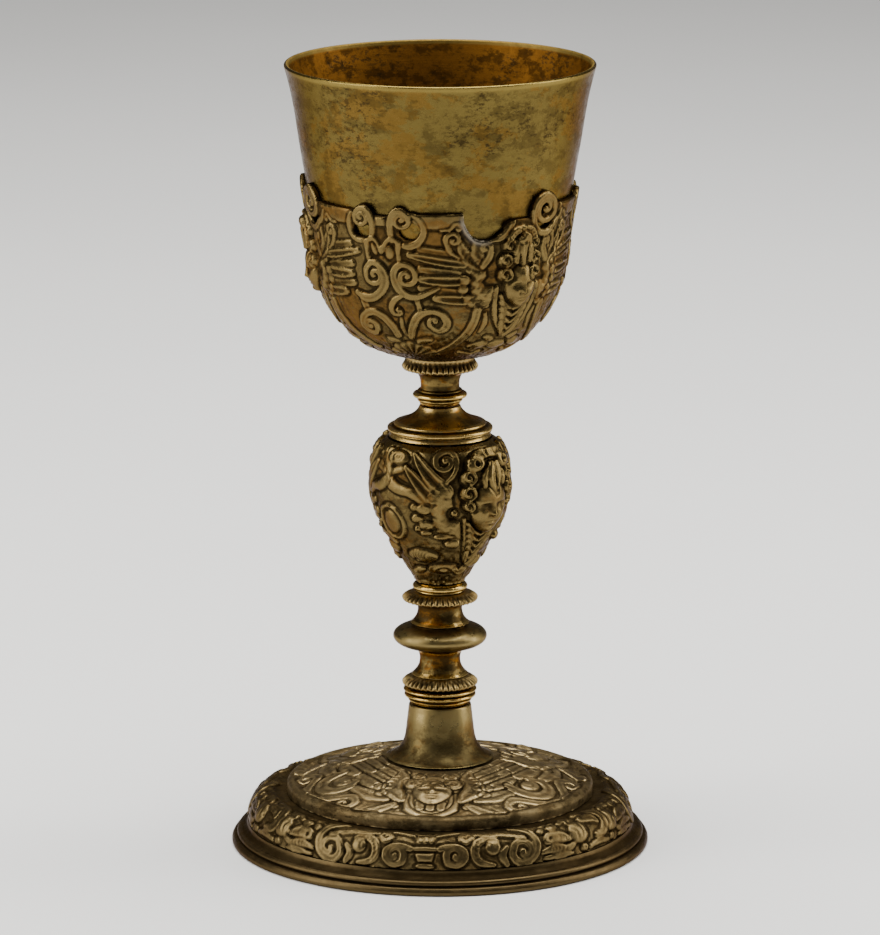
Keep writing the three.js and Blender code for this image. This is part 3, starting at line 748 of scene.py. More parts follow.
def strap_panel_top(relief):
    """The pair of pierced scrolls, the bar between them and the bracket under them."""
    relief.hole(-12.9, 187.7, 3.2, 2.7)
    relief.hole(-35.6, 187.2, 2.9, 2.2)
    ring = [(-13.2, 192.6), (-9.6, 192), (-7.3, 189.6), (-7.2, 187), (-9.4, 184.6), (-13, 183.3),
            (-17, 183.6)]
    relief.stroke(ring, [1.1, 1.2, 1.5, 2.0, 2.0, 1.3], 0.75, solid=True)
    ring = [(-36.5, 192.5), (-40, 191.6), (-41.6, 189), (-41, 186), (-38, 184.2), (-34, 184.2)]
    relief.stroke(ring, [1.1, 1.3, 1.7, 1.6, 1.3], 0.75, solid=True)
    right = [(-20.6, 184.8), (-21.6, 187.5), (-21.2, 191), (-19.6, 193.2), (-16.6, 193.7), (-13.8, 192.2),
             (-13.3, 190.4)]
    relief.stroke(right, [1.7, 1.8, 1.6, 1.4], 1.15, curl=(-16.7, 191, -1.2), solid=True)
    left = [(-31.2, 184.8), (-29.9, 187.5), (-29.9, 191), (-31.6, 193.3), (-34.4, 193.8), (-37.4, 192.6),
            (-38.1, 190.4)]
    relief.stroke(left, [1.7, 1.8, 1.6, 1.4], 1.15, curl=(-34.8, 191, 1.2), solid=True)
    relief.patch(block(-28.2, -23.2, 188.7, 191.7), 0.7, solid=True)
    bracket = [(-32.6, 184.2), (-29.8, 185.2), (-27.6, 183.6), (-26, 181.6), (-24, 184), (-21.4, 185.3),
               (-18, 184.4)]
    relief.stroke(bracket, [1.3, 1.4, 1.1, 1.6, 1.1, 1.4, 1.3], 1.1)
    relief.pad(-22.2, 181.4, 1.5, 2.1, 0.7)
    relief.pad(-29.6, 182.0, 1.0, 1.9, 0.6, tilt=20)


def strap_panel_middle(relief):
    """The two S-scrolls and the hook between them."""
    relief.stroke([(-18.2, 184.4), (-18.3, 181), (-17.6, 178)], [1.5, 1.2, 1.5], 0.95)
    relief.stroke([(-33.4, 184.2), (-33.2, 181), (-32.2, 178)], [1.5, 1.2, 1.5], 0.95)
    tail = [(-0.6, 171.4), (-4, 170.2), (-8.6, 168.9), (-13, 168.6), (-17.2, 169.7), (-20, 172.2),
            (-20.9, 175), (-19.2, 177.2), (-15.6, 178), (-12, 176.8), (-10.9, 174.6)]
    widths = [0.7, 1.3, 1.8, 2.1, 2.4, 2.3, 2.1, 1.9, 1.7, 1.6, 1.5]
    relief.stroke(tail, widths, 1.15, curl=(-15, 174.4, -1.15))
    body = [(-41, 168.4), (-36.6, 167.2), (-32, 167.6), (-27.6, 169.6), (-25, 172.4), (-25.3, 175.4),
            (-28, 177.5), (-31.4, 177.9), (-34.3, 176), (-34.4, 173.6)]
    widths = [1.6, 2.4, 2.5, 2.4, 2.3, 2.1, 1.9, 1.7, 1.6, 1.5]
    relief.stroke(body, widths, 1.15, curl=(-30.2, 174.3, 1.1))
    hook = [(-18, 168.4), (-21.2, 167.3), (-23.4, 165.2), (-22.8, 163.2), (-20.8, 162.9)]
    relief.stroke(hook, [1.2, 1.6, 1.7, 1.4, 1.2], 1.0, curl=(-20.4, 164, 0.5))
    relief.pad(-20, 164.3, 1.0, 0.9, 1.3)


def strap_panel_bottom(relief):
    """The two large lower scrolls and the shell between them."""
    relief.stroke([(-10.8, 168), (-10, 166), (-9.2, 164.2)], [1.6, 1.2, 1.8], 0.9)
    relief.stroke([(-38, 167), (-37.6, 165), (-36.8, 163)], [2.6, 2.4, 2.4], 0.9)
    right = [(-16, 155.8), (-14.4, 158.8), (-11.6, 161.8), (-8, 163.6), (-3.4, 164.1), (0.8, 163.2),
             (3.4, 160.8), (2.6, 158.8), (-0.6, 158), (-3.8, 159)]
    widths = [1.8, 2.1, 2.3, 2.2, 1.9, 1.9, 2.1, 2.1, 1.7, 1.3]
    relief.stroke(right, widths, 1.15, curl=(-2.2, 160.9, -0.6))
    relief.pad(-2.2, 161.0, 0.9, 0.9, 1.5)
    left = [(-23.6, 155.8), (-25.2, 158.8), (-28.4, 161.6), (-33, 163), (-38, 162.4), (-42.4, 160.3),
            (-43.4, 157.8), (-39.6, 156.2), (-35.6, 156.9), (-34.9, 158.8)]
    widths = [1.8, 2.2, 2.4, 2.4, 2.2, 2.1, 2.0, 1.9, 1.6, 1.5]
    relief.stroke(left, widths, 1.15, curl=(-38.4, 158.6, 0.9))
    relief.shell(-18, 149.4, 7.2, 1.0, 7, spread=84)
    relief.pad(-28, 154.2, 2.2, 1.1, 0.7, tilt=-15)
    relief.pad(-9, 154.4, 2.4, 1.3, 0.7, tilt=15)
    relief.stroke([(-19.5, 161.8), (-19.8, 158.5), (-18.6, 156)], [0.8, 1.2, 0.8], 0.35)


SOLDER = [(9.6, 192), (9.8, 190), (11.4, 187.9), (13.8, 185.7), (17, 184.6), (21.5, 184.5)]  # a mended edge


def calyx_relief():
    """The calyx: one head and one panel of straps, three times round, and the damage at the front."""
    outline = offset(cup_side(), SEAT + CALYX_WALL)
    relief = Relief(outline[outline[:, 1] < CALYX_TOP], 0.3, 3, -84.5)
    calyx_edge(relief)
    relief.patch(block(-12, 15, 188.5, 194), 0.5, edge=0.5)
    relief.patch(block(60, 80, 188.5, 194), 0.5, edge=0.5)
    for side, squeeze in ((-1, 1.0), (1, 0.87)):
        relief.aim(CALYX_HEAD, side, squeeze)
        calyx_wing(relief)
        calyx_leaf(relief)
        side_scroll(relief.aim(CALYX_HEAD, side))
    calyx_fringe(relief.aim(CALYX_HEAD))
    calyx_head(relief.aim(CALYX_HEAD))
    strap_panel_top(relief.aim(0))
    strap_panel_bottom(relief)
    strap_panel_middle(relief)
    relief.spread()
    relief.stroke(SOLDER, [1.5, 1.3, 1.7, 1.2, 1.6, 1.0], 0.5, base=0.15, top=round_top, groove=0.2)
    notch = [(9.8, 199), (9.8, 192), (10.2, 190), (11.8, 187.8), (14, 185.8), (17, 184.9), (21.5, 184.8),
             (24.6, 185.6), (27, 187.6), (29.4, 189.6), (34, 190.5), (36, 191.2), (37, 199)]
    relief.patch(notch, 0, cut=True)
    relief.finish(outline=1.1, lowness=0.45)
    cells, near = relief.nearness(SOLDER, 0.9)
    relief.solder = np.zeros_like(relief.h)
    relief.solder[cells] = near
    return relief


# ---- Knop, dome and border ------------------------------------------------------------------------

CAST_WALL = 2.0  # thickness of the knop
SHEET = 1.4  # thickness of the foot


def knop_outline():
    """The outside of the knop, from the bottom up."""
    belly = bend((7.3, 78.15), (9.4, 83), (19.6, 93.5), (19.9, 108.5), 60)
    return join(belly, bend((19.9, 108.5), (19.8, 113), (19.3, 117), (17.4, 119.4), 20)[1:], (15.2, 120.75))


def knop_wing(relief):
    """One wing, its feathers and its scroll, with places from the middle of the head."""
    strap = [(94, 119.2), (96.5, 116.2), (95.5, 112.6), (92, 110.2), (84, 108.7), (75, 108.3), (67, 107.2),
             (60, 105.6)]
    relief.stroke(strap, [2.2, 3.4, 3.8, 3.4, 3.0, 3.0, 3.2], 0.9, top=round_top)
    relief.stroke([(92, 113.2), (84, 114.6), (76, 115)], [1.6, 2.4, 1.2], 0.7, top=round_top)
    relief.engrave([(90, 112.2), (84, 110.9), (76, 110), (70, 109.7)], width=0.7, depth=1.0)
    relief.stroke([(54, 106.5), (61, 109.4), (69, 112.4), (77.5, 115.4)], [3.6, 3.6, 2.8, 1.2], 1.3, slot=0.8)
    relief.stroke([(42, 108.5), (53, 112.2), (62, 115.6), (70.5, 118.9)], [4.0, 3.8, 3.0, 1.3], 1.4, slot=0.9)
    feathers = [(67.5, 100.2, 1.9, 1.5), (69.5, 103.6, 1.4, 1.2), (67.5, 97, 1.2, 1.0), (60, 95.8, 1.8, 1.1),
                (59, 98.3, 2.4, 1.5), (60.5, 103.1, 2.4, 1.7), (52.5, 106.8, 1.9, 1.9)]
    for deg, level, across, up in feathers:
        relief.pad(deg, level, across, up, 1.1)
        relief.engrave([(deg + 1.5, level + up * 0.5), (deg - 2.5, level), (deg + 1.5, level - up * 0.5)],
                       depth=0.35)
    body = [(45, 111.5), (41, 110), (36.6, 107), (35.5, 104), (39.6, 103.2), (41.6, 101.8), (39.4, 100.3),
            (33, 100), (28.4, 99.3), (26, 96), (25.2, 92.6), (29, 91.2), (35, 91), (39, 92.3), (44, 94),
            (50, 96), (53, 98.5), (55, 101.5), (55.5, 104.5), (54, 107.5), (49, 110)]
    relief.patch(body, 1.5, edge=2.2)
    relief.pad(44.6, 94.6, 2.7, 1.0, 1.2, base=0.3)
    relief.pad(34.6, 92.6, 2.2, 1.5, 0.7, base=1.1)
    relief.pad(34.6, 102, 1.2, 1.2, 1.5, groove=0.6)
    for points in (((50, 104.6), (53, 103.8)), ((50, 100.7), (56.5, 100.4)), ((49, 97), (55, 96.2)),
                   ((37, 94), (42, 93))):
        relief.engrave([points[0], np.mean(points, axis=0) + [0, 0.3], points[1]], width=0.4, depth=0.7)
    relief.hatch([(43, 109.6), (39.6, 105.6), (45, 101), (40, 97), (31, 95)], 1.0, 7, depth=0.2)
    scroll = [(41.5, 111.3), (36, 113.2), (32.6, 115.6), (33, 118.2), (37.5, 119.7), (44, 119.6),
              (50, 118.4), (50.6, 116.4)]
    relief.stroke(scroll, [0.9, 1.4, 1.5, 1.5], 1.1, curl=(42.6, 117.2, -0.9))
    relief.pad(42.6, 117.2, 0.9, 0.9, 1.3)


KNOP_LEAN, LEAN_TOP = 0.42, 105  # in degrees to a millimetre, and the height where the lean starts


def leaning(points, side):
    """Points on one side of a knop head's collar, which leans to the left as it narrows."""
    return [(side * deg - KNOP_LEAN * max(LEAN_TOP - level, 0), level) for deg, level in points]


def knop_head(relief):
    """A head on the knop, with its hair and its ribbed collar."""
    for side in (-1, 1):
        edge = leaning([(23, 100), (17, 94), (9, 88.2), (3.5, 85.8), (0, 85)], side)
        relief.stroke(edge, [1.1, 1.3, 1.2], 0.9)
        for n in range(6):
            top = 98.6 - 1.9 * n
            rib = leaning([(18.5 - 2.1 * n, top), (10 - 1.0 * n, top - 2.7), (0.5, top - 4.1)], side)
            relief.stroke(rib, [1.1, 1.3, 0.9], 1.0, base=0.25)
    relief.pad(0, 112, 6.5, 8, 1.1, base=0.6)
    face(relief, -1.5, 103.2, 6.4, 8.0, 0.8, 1.1)
    for side in (-1, 1):
        for deg, level, radius in ((22.5, 103.9, 1.9), (23, 107.8, 2.5), (22.6, 112.3, 2.5)):
            lock(relief, side * deg, level, radius, 1.4, 0.9, side=side)
        relief.stroke([(side * 21, 115.5), (side * 12, 118), (0, 118.4)], [2.2, 2.8, 2.6], 1.2, base=1.2)
        relief.pad(side * 15.5, 116, 2.9, 2.4, 1.2, base=1.4)
        relief.dimple(side * 15, 116, 0.75, 1.6)
        relief.hatch([(side * 24, 115), (side * 20, 117.6), (side * 14, 118.8)], 0.8, 4, depth=0.4)
        relief.stroke([(side * 4, 114.5), (side * 9, 112), (side * 9.5, 109.6)], [1.8, 1.8, 0.8], 1.0,
                      base=2.0)
    relief.stroke([(-2, 115.5), (-3.5, 111), (1, 107.4)], [1.6, 2.0, 0.7], 1.1, base=2.2)
    relief.stroke([(3, 115.5), (4, 112), (2, 108.6)], [1.6, 1.8, 0.7], 1.0, base=2.1)


def cartouche(relief, deg, level, across, up):
    """The oval frame on the side of the knop: two rings round a domed field."""
    relief.pad(deg, level, across, up, 0.9)
    relief.pad(deg, level, across - 1.1, up - 1.1, 0.1, base=-0.1, groove=0.9)
    cells, x, y = relief.local(deg, level, 5)
    distance = np.hypot(x / across, y / up)
    ring = np.exp(-(((distance - 0.88) / 0.11) ** 2))
    field = 0.9 * round_top(np.minimum(distance / 0.62, 1))
    inside = np.maximum(ring, field) - 0.35 * np.exp(-(((distance - 0.7) / 0.06) ** 2))
    relief.h[cells] = np.where(distance < 1.05, inside, relief.h[cells])


def knop_relief():
    """The knop: one head and one cartouche, twice round."""
    relief = Relief(knop_outline(), 0.25, 2, -140)
    for side, squeeze in ((-1, 1.0), (1, 0.856)):
        knop_wing(relief.aim(KNOP_HEAD, side, squeeze))
    relief.aim(0)
    cartouche(relief, -50, 98, 5.2, 6.0)
    relief.pad(-40, 117.6, 3.6, 2.3, 1.2, rings=3)
    relief.pad(-22, 88, 4.6, 2.7, 1.3)
    relief.hatch([(-38, 86.8), (-30, 88.4), (-20, 88.8), (-11, 88.2)], 1.5, 7, lean=-0.6)
    relief.engrave([(-38, 85.6), (-30, 87), (-24, 86.2), (-15, 86.6)], width=0.5, depth=0.8)
    relief.pad(5, 83.8, 4.4, 2.1, 1.2, rings=2)
    relief.pad(5, 83.6, 1.2, 0.8, 1.5)
    relief.pad(-35, 83, 2.4, 1.2, 1.0, tilt=20)
    relief.stroke([(22, 83.4), (32, 82.6), (42, 84.6), (52, 86.8)], [1.4, 2.2, 2.6, 1.6], 1.1)
    relief.pad(58, 85.2, 3.0, 2.0, 1.5, tilt=20, rings=1)
    relief.pad(-68, 89.6, 3.4, 2.4, 1.5, rings=1)
    relief.stroke([(-80, 94), (-66, 93), (-54, 91.4)], [1.4, 2.2, 1.2], 0.9)
    relief.pad(-84, 86.5, 3.0, 2.2, 1.4, rings=1)
    knop_head(relief.aim(KNOP_HEAD))
    relief.spread()
    # The knop's plain bands get painted light.
    relief.finish(outline=0.9, lowness=0.35, plain=[(0, 1.2), (43.5, 90)], painted_shading=-0.4)
    return relief


def dome_outline():
    """The dome from its rim moulding in to the stem."""
    plate = bend((40.4, 17.8), (35.2, 19.7), (27, 22.1), (15.7, 24.5), 40)
    moulding = join((44.8, 14.75), (44.8, 16.4), bead(42.9, 16.8, 1.9, 1.7, 0, 112))
    return join(moulding, plate, (8.6, 24.65))


def dome_wing(relief):
    """One wing and the straps beyond it, broad and nearly flat, with places from the middle of the head."""
    relief.stroke([(27, 18.3), (42, 17.3), (60, 16.9)], [1.8, 2.1, 1.5], 0.8)
    relief.stroke([(28, 21.0), (46, 19.8), (63, 19.1)], [2.4, 2.9, 2.0], 0.9)
    relief.stroke([(30, 24.4), (47, 23.1), (63, 22.2)], [2.6, 3.3, 2.4], 0.95, slot=0.2)
    relief.stroke([(32, 28.3), (45, 27.3), (56.5, 26.2)], [2.8, 3.9, 2.8], 1.0)
    relief.stroke([(24, 33.4), (34, 33.0), (45.5, 31.9)], [3.2, 4.6, 3.0], 1.05)
    relief.engrave([(29, 33), (36, 32.8), (42, 32.3)], width=0.25, depth=0.3)
    body = [(15.5, 33.4), (19, 31), (24.6, 28.6), (27, 25), (26, 21.6), (31, 18.6)]
    relief.stroke(body, [2.4, 4.4, 5.6, 5.2, 3.8, 1.6], 0.95, base=0.5)
    for deg, level in ((17.8, 36.2), (28.6, 31.2), (33.4, 28.0)):
        relief.pad(deg, level, 1.9, 1.7, 1.0, rings=1)
    relief.hatch([(22, 31.4), (28.4, 28), (29, 24.5), (28, 21.6)], 1.0, 5, depth=0.3)
    relief.stroke([(30, 42.2), (25, 40.4), (20.6, 37.8), (17.4, 35.4)], [2.0, 3.5, 3.0, 1.6], 0.9)
    strap = [(59, 42.0), (52, 40.4), (46, 37.6), (41, 35.9), (36.2, 37.4), (36.2, 40.0), (39.6, 41.2)]
    relief.stroke(strap, [1.8, 2.6, 2.8, 2.8, 2.4, 1.8, 1.4], 0.95, curl=(40.6, 38.9, 0.5))


def dome_scroll(relief):
    """The broad scroll between two heads."""
    line = [(-12, 28.4), (-12, 31.6), (-9, 35.2), (-2, 37.4), (5.6, 36.2), (9.6, 32.6), (7, 29.2)]
    relief.stroke(line, [2.2, 3.6, 3.8, 3.8, 3.4, 3.0, 2.4], 1.0)
    relief.pad(0.4, 31.6, 3.4, 2.7, 1.0)
    relief.engrave([(-3.4, 31.0), (0, 32.6), (3.6, 31.2), (1.2, 30.2)], width=0.3, depth=0.4)


def mirrored(points):
    """A line of points on the left, carried on to the right by its mirror image."""
    return points + [(-deg, level) for deg, level in reversed(points) if deg]


def dome_head(relief):
    """A head on the foot, in its shouldered collar, with the hair towards the stem."""
    collar = mirrored([(-14.5, 29), (-13.8, 34), (-12, 38), (-8, 39.8), (-4, 41.0), (0, 42)])
    relief.patch(collar, 0.8, edge=1.0)
    inner = mirrored([(-10.6, 29), (-9.6, 34.0), (-6, 37.2), (0, 38.8)])
    relief.stroke(inner, [0.9, 0.9], -0.7, base=0.75, groove=0.1)
    relief.stroke(inner, [0.9, 0.9], 0.15, base=0.55, groove=0.4)
    for deg in (-5.2, 0, 5.2):
        relief.stroke([(deg * 0.9, 37), (deg, 34.6)], [1.9, 2.3], 0.3, base=0.6)
    face(relief, 0, 28.6, 5.6, 6.6, 0.5, 0.62)
    relief.stroke([(-9, 23.2), (0, 21.4), (9, 23.2)], [2.6, 3.2, 2.6], 0.6, base=0.7)
    for side in (-1, 1):
        relief.pad(side * 13.8, 24, 3.0, 2.8, 0.9, base=0.3, rings=2)
        relief.pad(side * 13.4, 19.8, 1.9, 1.6, 0.7, base=0.3, rings=1)
        relief.stroke([(0, 23.4), (side * 4, 23.8), (side * 6.5, 25.6)], [1.4, 1.6, 0.8], 0.5, base=1.0)


def dome_relief():
    """The dome: one head with its wings and one scroll, three times round."""
    relief = Relief(dome_outline(), 0.28, 3, -64.5, level="radius")
    for side in (-1, 1):
        dome_wing(relief.aim(FOOT_HEAD, side))
    dome_scroll(relief.aim(FOOT_HEAD + 60))
    dome_head(relief.aim(FOOT_HEAD))
    relief.spread()
    # The dome's moulding and its plain inner plate get painted shade.
    relief.finish(outline=1.7, lowness=0.6, plain=[(0, 6.4), (31, 60)], unevenness=0.045, painted_shading=0.17)
    return relief


def border_outline():
    """The border from its bulge in to the foot of the dome."""
    bulge = bend((56.2, 6.45), (55.9, 11.2), (53.6, 15.1), (49.4, 15.1), 50)
    return join(bulge, bend((49.4, 15.1), (48.3, 15.1), (47.6, 14.5), (46.2, 14.5), 10)[1:], (42.4, 14.5))


def border_side(relief):
    """The scrolls, leaves and fruit on one side of a bracket. Levels are lengths up the bulge."""
    scroll = [(4.6, 6), (7.6, 6.7), (11, 6), (12.1, 3.6), (10, 1.3), (7.0, 1.8), (6.4, 4.2)]
    relief.stroke(scroll, [1.3, 1.3, 1.4, 1.4], 1.0, curl=(9.1, 3.9, -0.9))
    relief.stroke([(4, 10.6), (8, 11.8), (12.4, 11.7), (14.8, 9.8), (13, 8.1)], [1.0, 1.2, 1.3], 0.9,
                  curl=(12.4, 9.8, -0.7))
    leaf = [(21.2, 7.6), (18.6, 8.7), (15.8, 7.2), (14.9, 4.2), (16.6, 1.6), (20.4, 0.7)]
    relief.stroke(leaf, [2.4, 2.0, 1.8, 1.8, 1.5, 0.8], 0.9)
    relief.hatch([(20, 8.3), (16.6, 7.6), (15.3, 4.4), (17, 1.6)], 0.7, 8, depth=0.35)
    relief.pad(20.6, 5.8, 2.3, 2.2, 1.1)
    relief.engrave([(19.4, 4.2), (20, 6), (19.4, 7.6)], depth=0.3)
    big = [(28.5, 13.2), (30.6, 11.8), (33.6, 9.4), (34.8, 6), (34, 3), (31.4, 0.9), (28.2, 0.9),
           (26.4, 3.2), (27.6, 6)]
    relief.stroke(big, [1.6, 1.9, 2.0, 1.9, 1.8, 1.7, 1.5], 1.05, curl=(30.2, 3.9, -0.95))
    relief.stroke([(31.5, 7.9), (24, 9.7), (15.6, 10.6)], [0.9, 1.4, 0.9], 0.75)
    relief.stroke([(24.5, 0.8), (23.2, 3.2), (25, 5.6)], [1.2, 1.6, 0.8], 0.6)
    relief.stroke([(47.5, 5), (43.4, 6.3), (40, 6.3), (38.6, 5.8)], [1.0, 2.8, 2.8, 1.6], 0.95)
    relief.dimple(39.9, 6.2, 0.45, 0.7)
    relief.hatch([(42, 6.3), (46.5, 5.2)], 1.1, 4, depth=0.35)
    relief.stroke([(36.5, 2.6), (41, 3.2), (46, 2.4), (49, 3.6)], [0.9, 1.8, 1.6, 0.9], 0.8)
    relief.hatch([(37, 2.7), (41, 3.2), (46, 2.5)], 0.7, 6, depth=0.3)
    relief.stroke([(37, 0.8), (42, 0.9), (47.5, 0.7)], [0.8, 1.3, 0.8], 0.6)
    relief.pad(42.3, 9.6, 2.2, 1.4, 0.9, rings=1)
    relief.pad(37.6, 9.2, 1.6, 1.2, 0.8, tilt=30)
    relief.stroke([(45.5, 10.4), (48.5, 11.6), (51, 10.6)], [1.0, 1.4, 1.0], 0.8, curl=(49.2, 10.2, -0.5))
    relief.pad(51.6, 6.3, 3.9, 3.5, 1.5)
    relief.engrave([(49, 8), (50.4, 6.4), (50.2, 4)], depth=0.3)
    relief.engrave([(52.4, 9), (53.2, 6.4), (52.6, 3.8)], depth=0.3)
    relief.dimple(55, 6.1, 0.4, 0.7)
    relief.pad(52.5, 1.5, 1.6, 1.2, 0.8)
    relief.dimple(52.5, 1.5, 0.4, 0.5)


def border_relief():
    """The border: brackets under the heads with scrolls and fruit between them, three times round."""
    relief = Relief(border_outline(), 0.28, 3, -64.5, level="length")
    relief.broad = 0.74
    relief.aim(FOOT_HEAD)
    relief.patch(mirrored([(-6, 5.3), (-6, 6.6)]), 0.9)
    relief.patch(mirrored([(-2.6, 7.5), (-3.8, 10.4)]), 0.9)
    relief.patch(mirrored([(-2.1, 2.0), (-2.9, 4.7)]), 0.85)
    relief.pad(0, 0.9, 2.6, 0.9, 0.7)
    for deg in (-1.8, 0, 1.8):
        relief.stroke([(deg, 7.9), (deg * 1.2, 10)], [0.5, 0.5], 0.35, base=0.7, groove=0.35)
    for side in (-1, 1):
        border_side(relief.aim(FOOT_HEAD, side))
    relief.aim(FOOT_HEAD + 60)
    relief.stroke([(-5, 12.4), (0, 12.3), (4.2, 10.4), (5.2, 7), (3, 4.2), (-1, 3.6)],
                  [1.4, 2.2, 2.4, 2.2, 1.4], 1.1)
    relief.stroke([(-4.6, 9.8), (0, 9.4), (2, 7.6)], [1.8, 2.4, 1.2], 0.9, slot=0.3)
    relief.stroke([(-5, 1.2), (0, 1.8), (5, 1.1)], [0.9, 1.5, 0.9], 0.7)
    relief.spread()
    # The plain fillet inside the border gets painted shade.
    relief.finish(outline=1.25, lowness=0.5, plain=[(13.6, 60)], painted_shading=0.2)
    return relief


# ---- Turned pieces --------------------------------------------------------------------------------

BORE = 3.35  # radius of the hole for the rod
CUP_WALL = 1.2
LIP = 0.65  # radius of the rounded lip
ROD_RADIUS = 3.0
ROD_FOOT, THREAD_TOP, ROD_TOP = 9.5, 23, 146.45
THREAD_STEP = 0.125  # rows of the mesh along the thread, which climbs 1 mm a turn
THREAD_DEPTH = 0.5
NUT_CORNER = 1.27  # how far out a corner of the nut reaches, for flats at 1
GADROONS = 40
COLLARS = (  # node, bottom, top, radius at its foot, radius of its flat top
    ("calyx_collar", 140.5, 144.75, 7.8, 10.2),
    ("upper_gadroon_collar", 71.8, 74.8, 7.4, 8.0),
    ("lower_gadroon_collar", 46.5, 49.8, 7.4, 8.2),
)


def on_rod(*outside):
    """A closed outline with the bore for the rod behind it."""
    line = join(*outside)
    return join(line, (BORE, line[-1, 1]), (BORE, line[0, 1]))


def cup_loop():
    """The cup's closed outline: outside, rounded lip and inside."""
    flare = bend((41.3, 213), (42, 218), (43.2, 224), (44.75, 229.2), 24)
    outside = join((0, 146.7), cup_side(), flare[1:])
    inside = offset(join(cup_side(), flare[1:]), -CUP_WALL)[::-1]
    inside = inside[inside[:, 1] < 229.1]
    lip = bead(44.15, 229.35, LIP, LIP, 15, 175, 10)
    return join(outside, lip, inside[inside[:, 0] > 0.1], (0, 147.9))


def uneven(size):
    """Slight waves in a hand-raised sheet, in millimetres."""

    def ripple(loop, angle):
        rng = np.random.default_rng(RNG_SEED)
        z = loop[:, 1][:, None] / DESIGN_HEIGHT
        wave = np.zeros((len(loop), len(angle)))
        for turns in range(2, 9):
            phase, climb = rng.uniform(0, 2 * np.pi), rng.uniform(-30, 30)
            wave += np.cos(turns * angle[None, :] + phase + climb * z) / turns
        grow = np.clip(loop[:, 0][:, None] / 30, 0, 1)
        return size * wave * grow, 0.0, 0.0

    return ripple


def gadroon_ripple(loop, angle):
    """Lobes that taper inwards on the sloping face of a collar, with dark valleys between them."""
    r, z = loop[:, 0][:, None], loop[:, 1][:, None]
    rng = np.random.default_rng(RNG_SEED)
    shifts = np.r_[rng.uniform(-1, 1, GADROONS), 0]
    turn = angle + 0.02 * np.interp(angle, np.linspace(0, 2 * np.pi, GADROONS + 1), shifts)
    lobe = np.abs(np.cos(turn * GADROONS / 2))[None, :] ** np.interp(r, [8.6, 11.1], [1.6, 0.6])
    top = loop[r[:, 0] > BORE + 0.1, 1].max()
    outer = np.clip((r - 8.0) / 1.2, 0, 1) * np.clip((top - z) / 1.1, 0, 1)
    upper = np.clip((z - loop[:, 1].min() - 0.3) / 0.8, 0, 1)
    edge = np.clip((r - 9.8) / 1.3, 0, 1) * upper
    return -0.55 * (1 - lobe) * edge, -0.8 * (1 - lobe) * outer * upper, 0.62 * (1 - lobe) * outer * upper


def collar_loop(bottom, top, throat, shoulder):
    """A collar whose upper face slopes down to a thin edge."""
    low = bottom + 0.9
    face_line = bend((11.15, low + 0.4), (10.9, low + 1.0), (9.4, top - 0.5), (shoulder, top), 18)
    under = bend((throat, bottom), (9.2, bottom + 0.05), (10.6, bottom + 0.2), (11.1, low), 10)
    return on_rod(under, face_line)


def stem_loops():
    """The closed outline of each plain turned piece."""
    cap = [(15, 121.25), (14.7, 121.6), bend((14.5, 122.2), (14.5, 122.5), (14.9, 122.6), (15.15, 122.7), 4),
           bead(14.7, 123.4, 0.65, 0.65, -60, 85, 10), (13.5, 124.1),
           bead(12.95, 124.7, 0.5, 0.55, -70, 80, 8),
           bend((12.7, 125.35), (9.6, 126.3), (6.7, 127.6), (6, 129.95))]
    spool_neck = bend((5.75, 135.0), (5.5, 137.4), (6.1, 139.7), (7.8, 140.25))
    spool = [bead(5.9, 131.8, 0.75, 0.6, -75, 75, 8), (6.15, 132.45), (6.6, 132.5),
             bead(6.9, 133.2, 1.1, 0.8, -70, 75, 12), (6.55, 134.1), bead(6.1, 134.5, 0.42, 0.36, -60, 80, 6)]
    upper = [bend((8.6, 65.45), (7.5, 66.3), (6.5, 67.4), (6.4, 69.6)),
             bend((6.4, 69.6), (6.4, 70.8), (6.9, 71.3), (7.6, 71.55))[1:]]
    lower = [bend((8.2, 50.05), (6.9, 51.2), (5.9, 52.4), (5.85, 54.6)),
             bend((5.85, 54.6), (5.85, 56), (6.3, 56.9), (7, 57.55))[1:]]
    trumpet = bend((15.7, 25.25), (12.6, 25.9), (10.5, 28.4), (10.0, 33))
    return {
        "upper_spool": on_rod((5.9, 130.45), *spool, spool_neck),
        "knop_cap": on_rod(*cap),
        "knop_base_ring": on_rod((7.2, 75.05), bead(6.7, 76.35, 1.35, 1.1, -75, 75, 12), (7.3, 77.65)),
        "upper_reel": on_rod(*upper),
        "ring_knop": on_rod((7.2, 58.05), bead(7.2, 61.5, 6.6, 3.3, -80, 80, 36), (8.5, 64.95)),
        "lower_reel": on_rod(*lower),
        "stem_ring": on_rod((8.8, 41.65), bead(8.7, 42.45, 0.55, 0.5, -60, 60, 6), (8.9, 43.05),
                            bead(8.9, 43.9, 1.55, 0.78, -78, 80, 14), bead(9.1, 45.45, 1.6, 0.7, -80, 80, 14),
                            (8.9, 46.25)),
        "foot_trumpet": join((15.7, 25.15), trumpet, (9.1, 40.8), (8.8, 41.15), (BORE, 41.15), (BORE, 39.75),
                             (7.4, 39.75), (8.4, 32.6), (10, 28.2), (12.6, 25.15)),
        "cup_boss": on_rod((7.9, 145.25), (8.4, 145.7), (8.4, 146.45)),
        "bearing_disc": on_rod((11.2, 21.05), (11.5, 21.35), (11.5, 22.6), (11.2, 22.9)),
        "washer": on_rod((7.4, 19.55), (7.6, 19.75), (7.6, 20.6), (7.4, 20.8)),
        "base_rim": join((57, 0), (60.8, 0), (61, 0.3), (61, 1.1), (60.4, 2),
                         bead(58.6, 2.9, 0.9, 0.9, -60, 80, 14),
                         bend((58.8, 3.8), (57.2, 4), (56.5, 4.8), (56.4, 6.2), 12),
                         (54.2, 6.2), (54.2, 5), (57, 1.6)),
    }


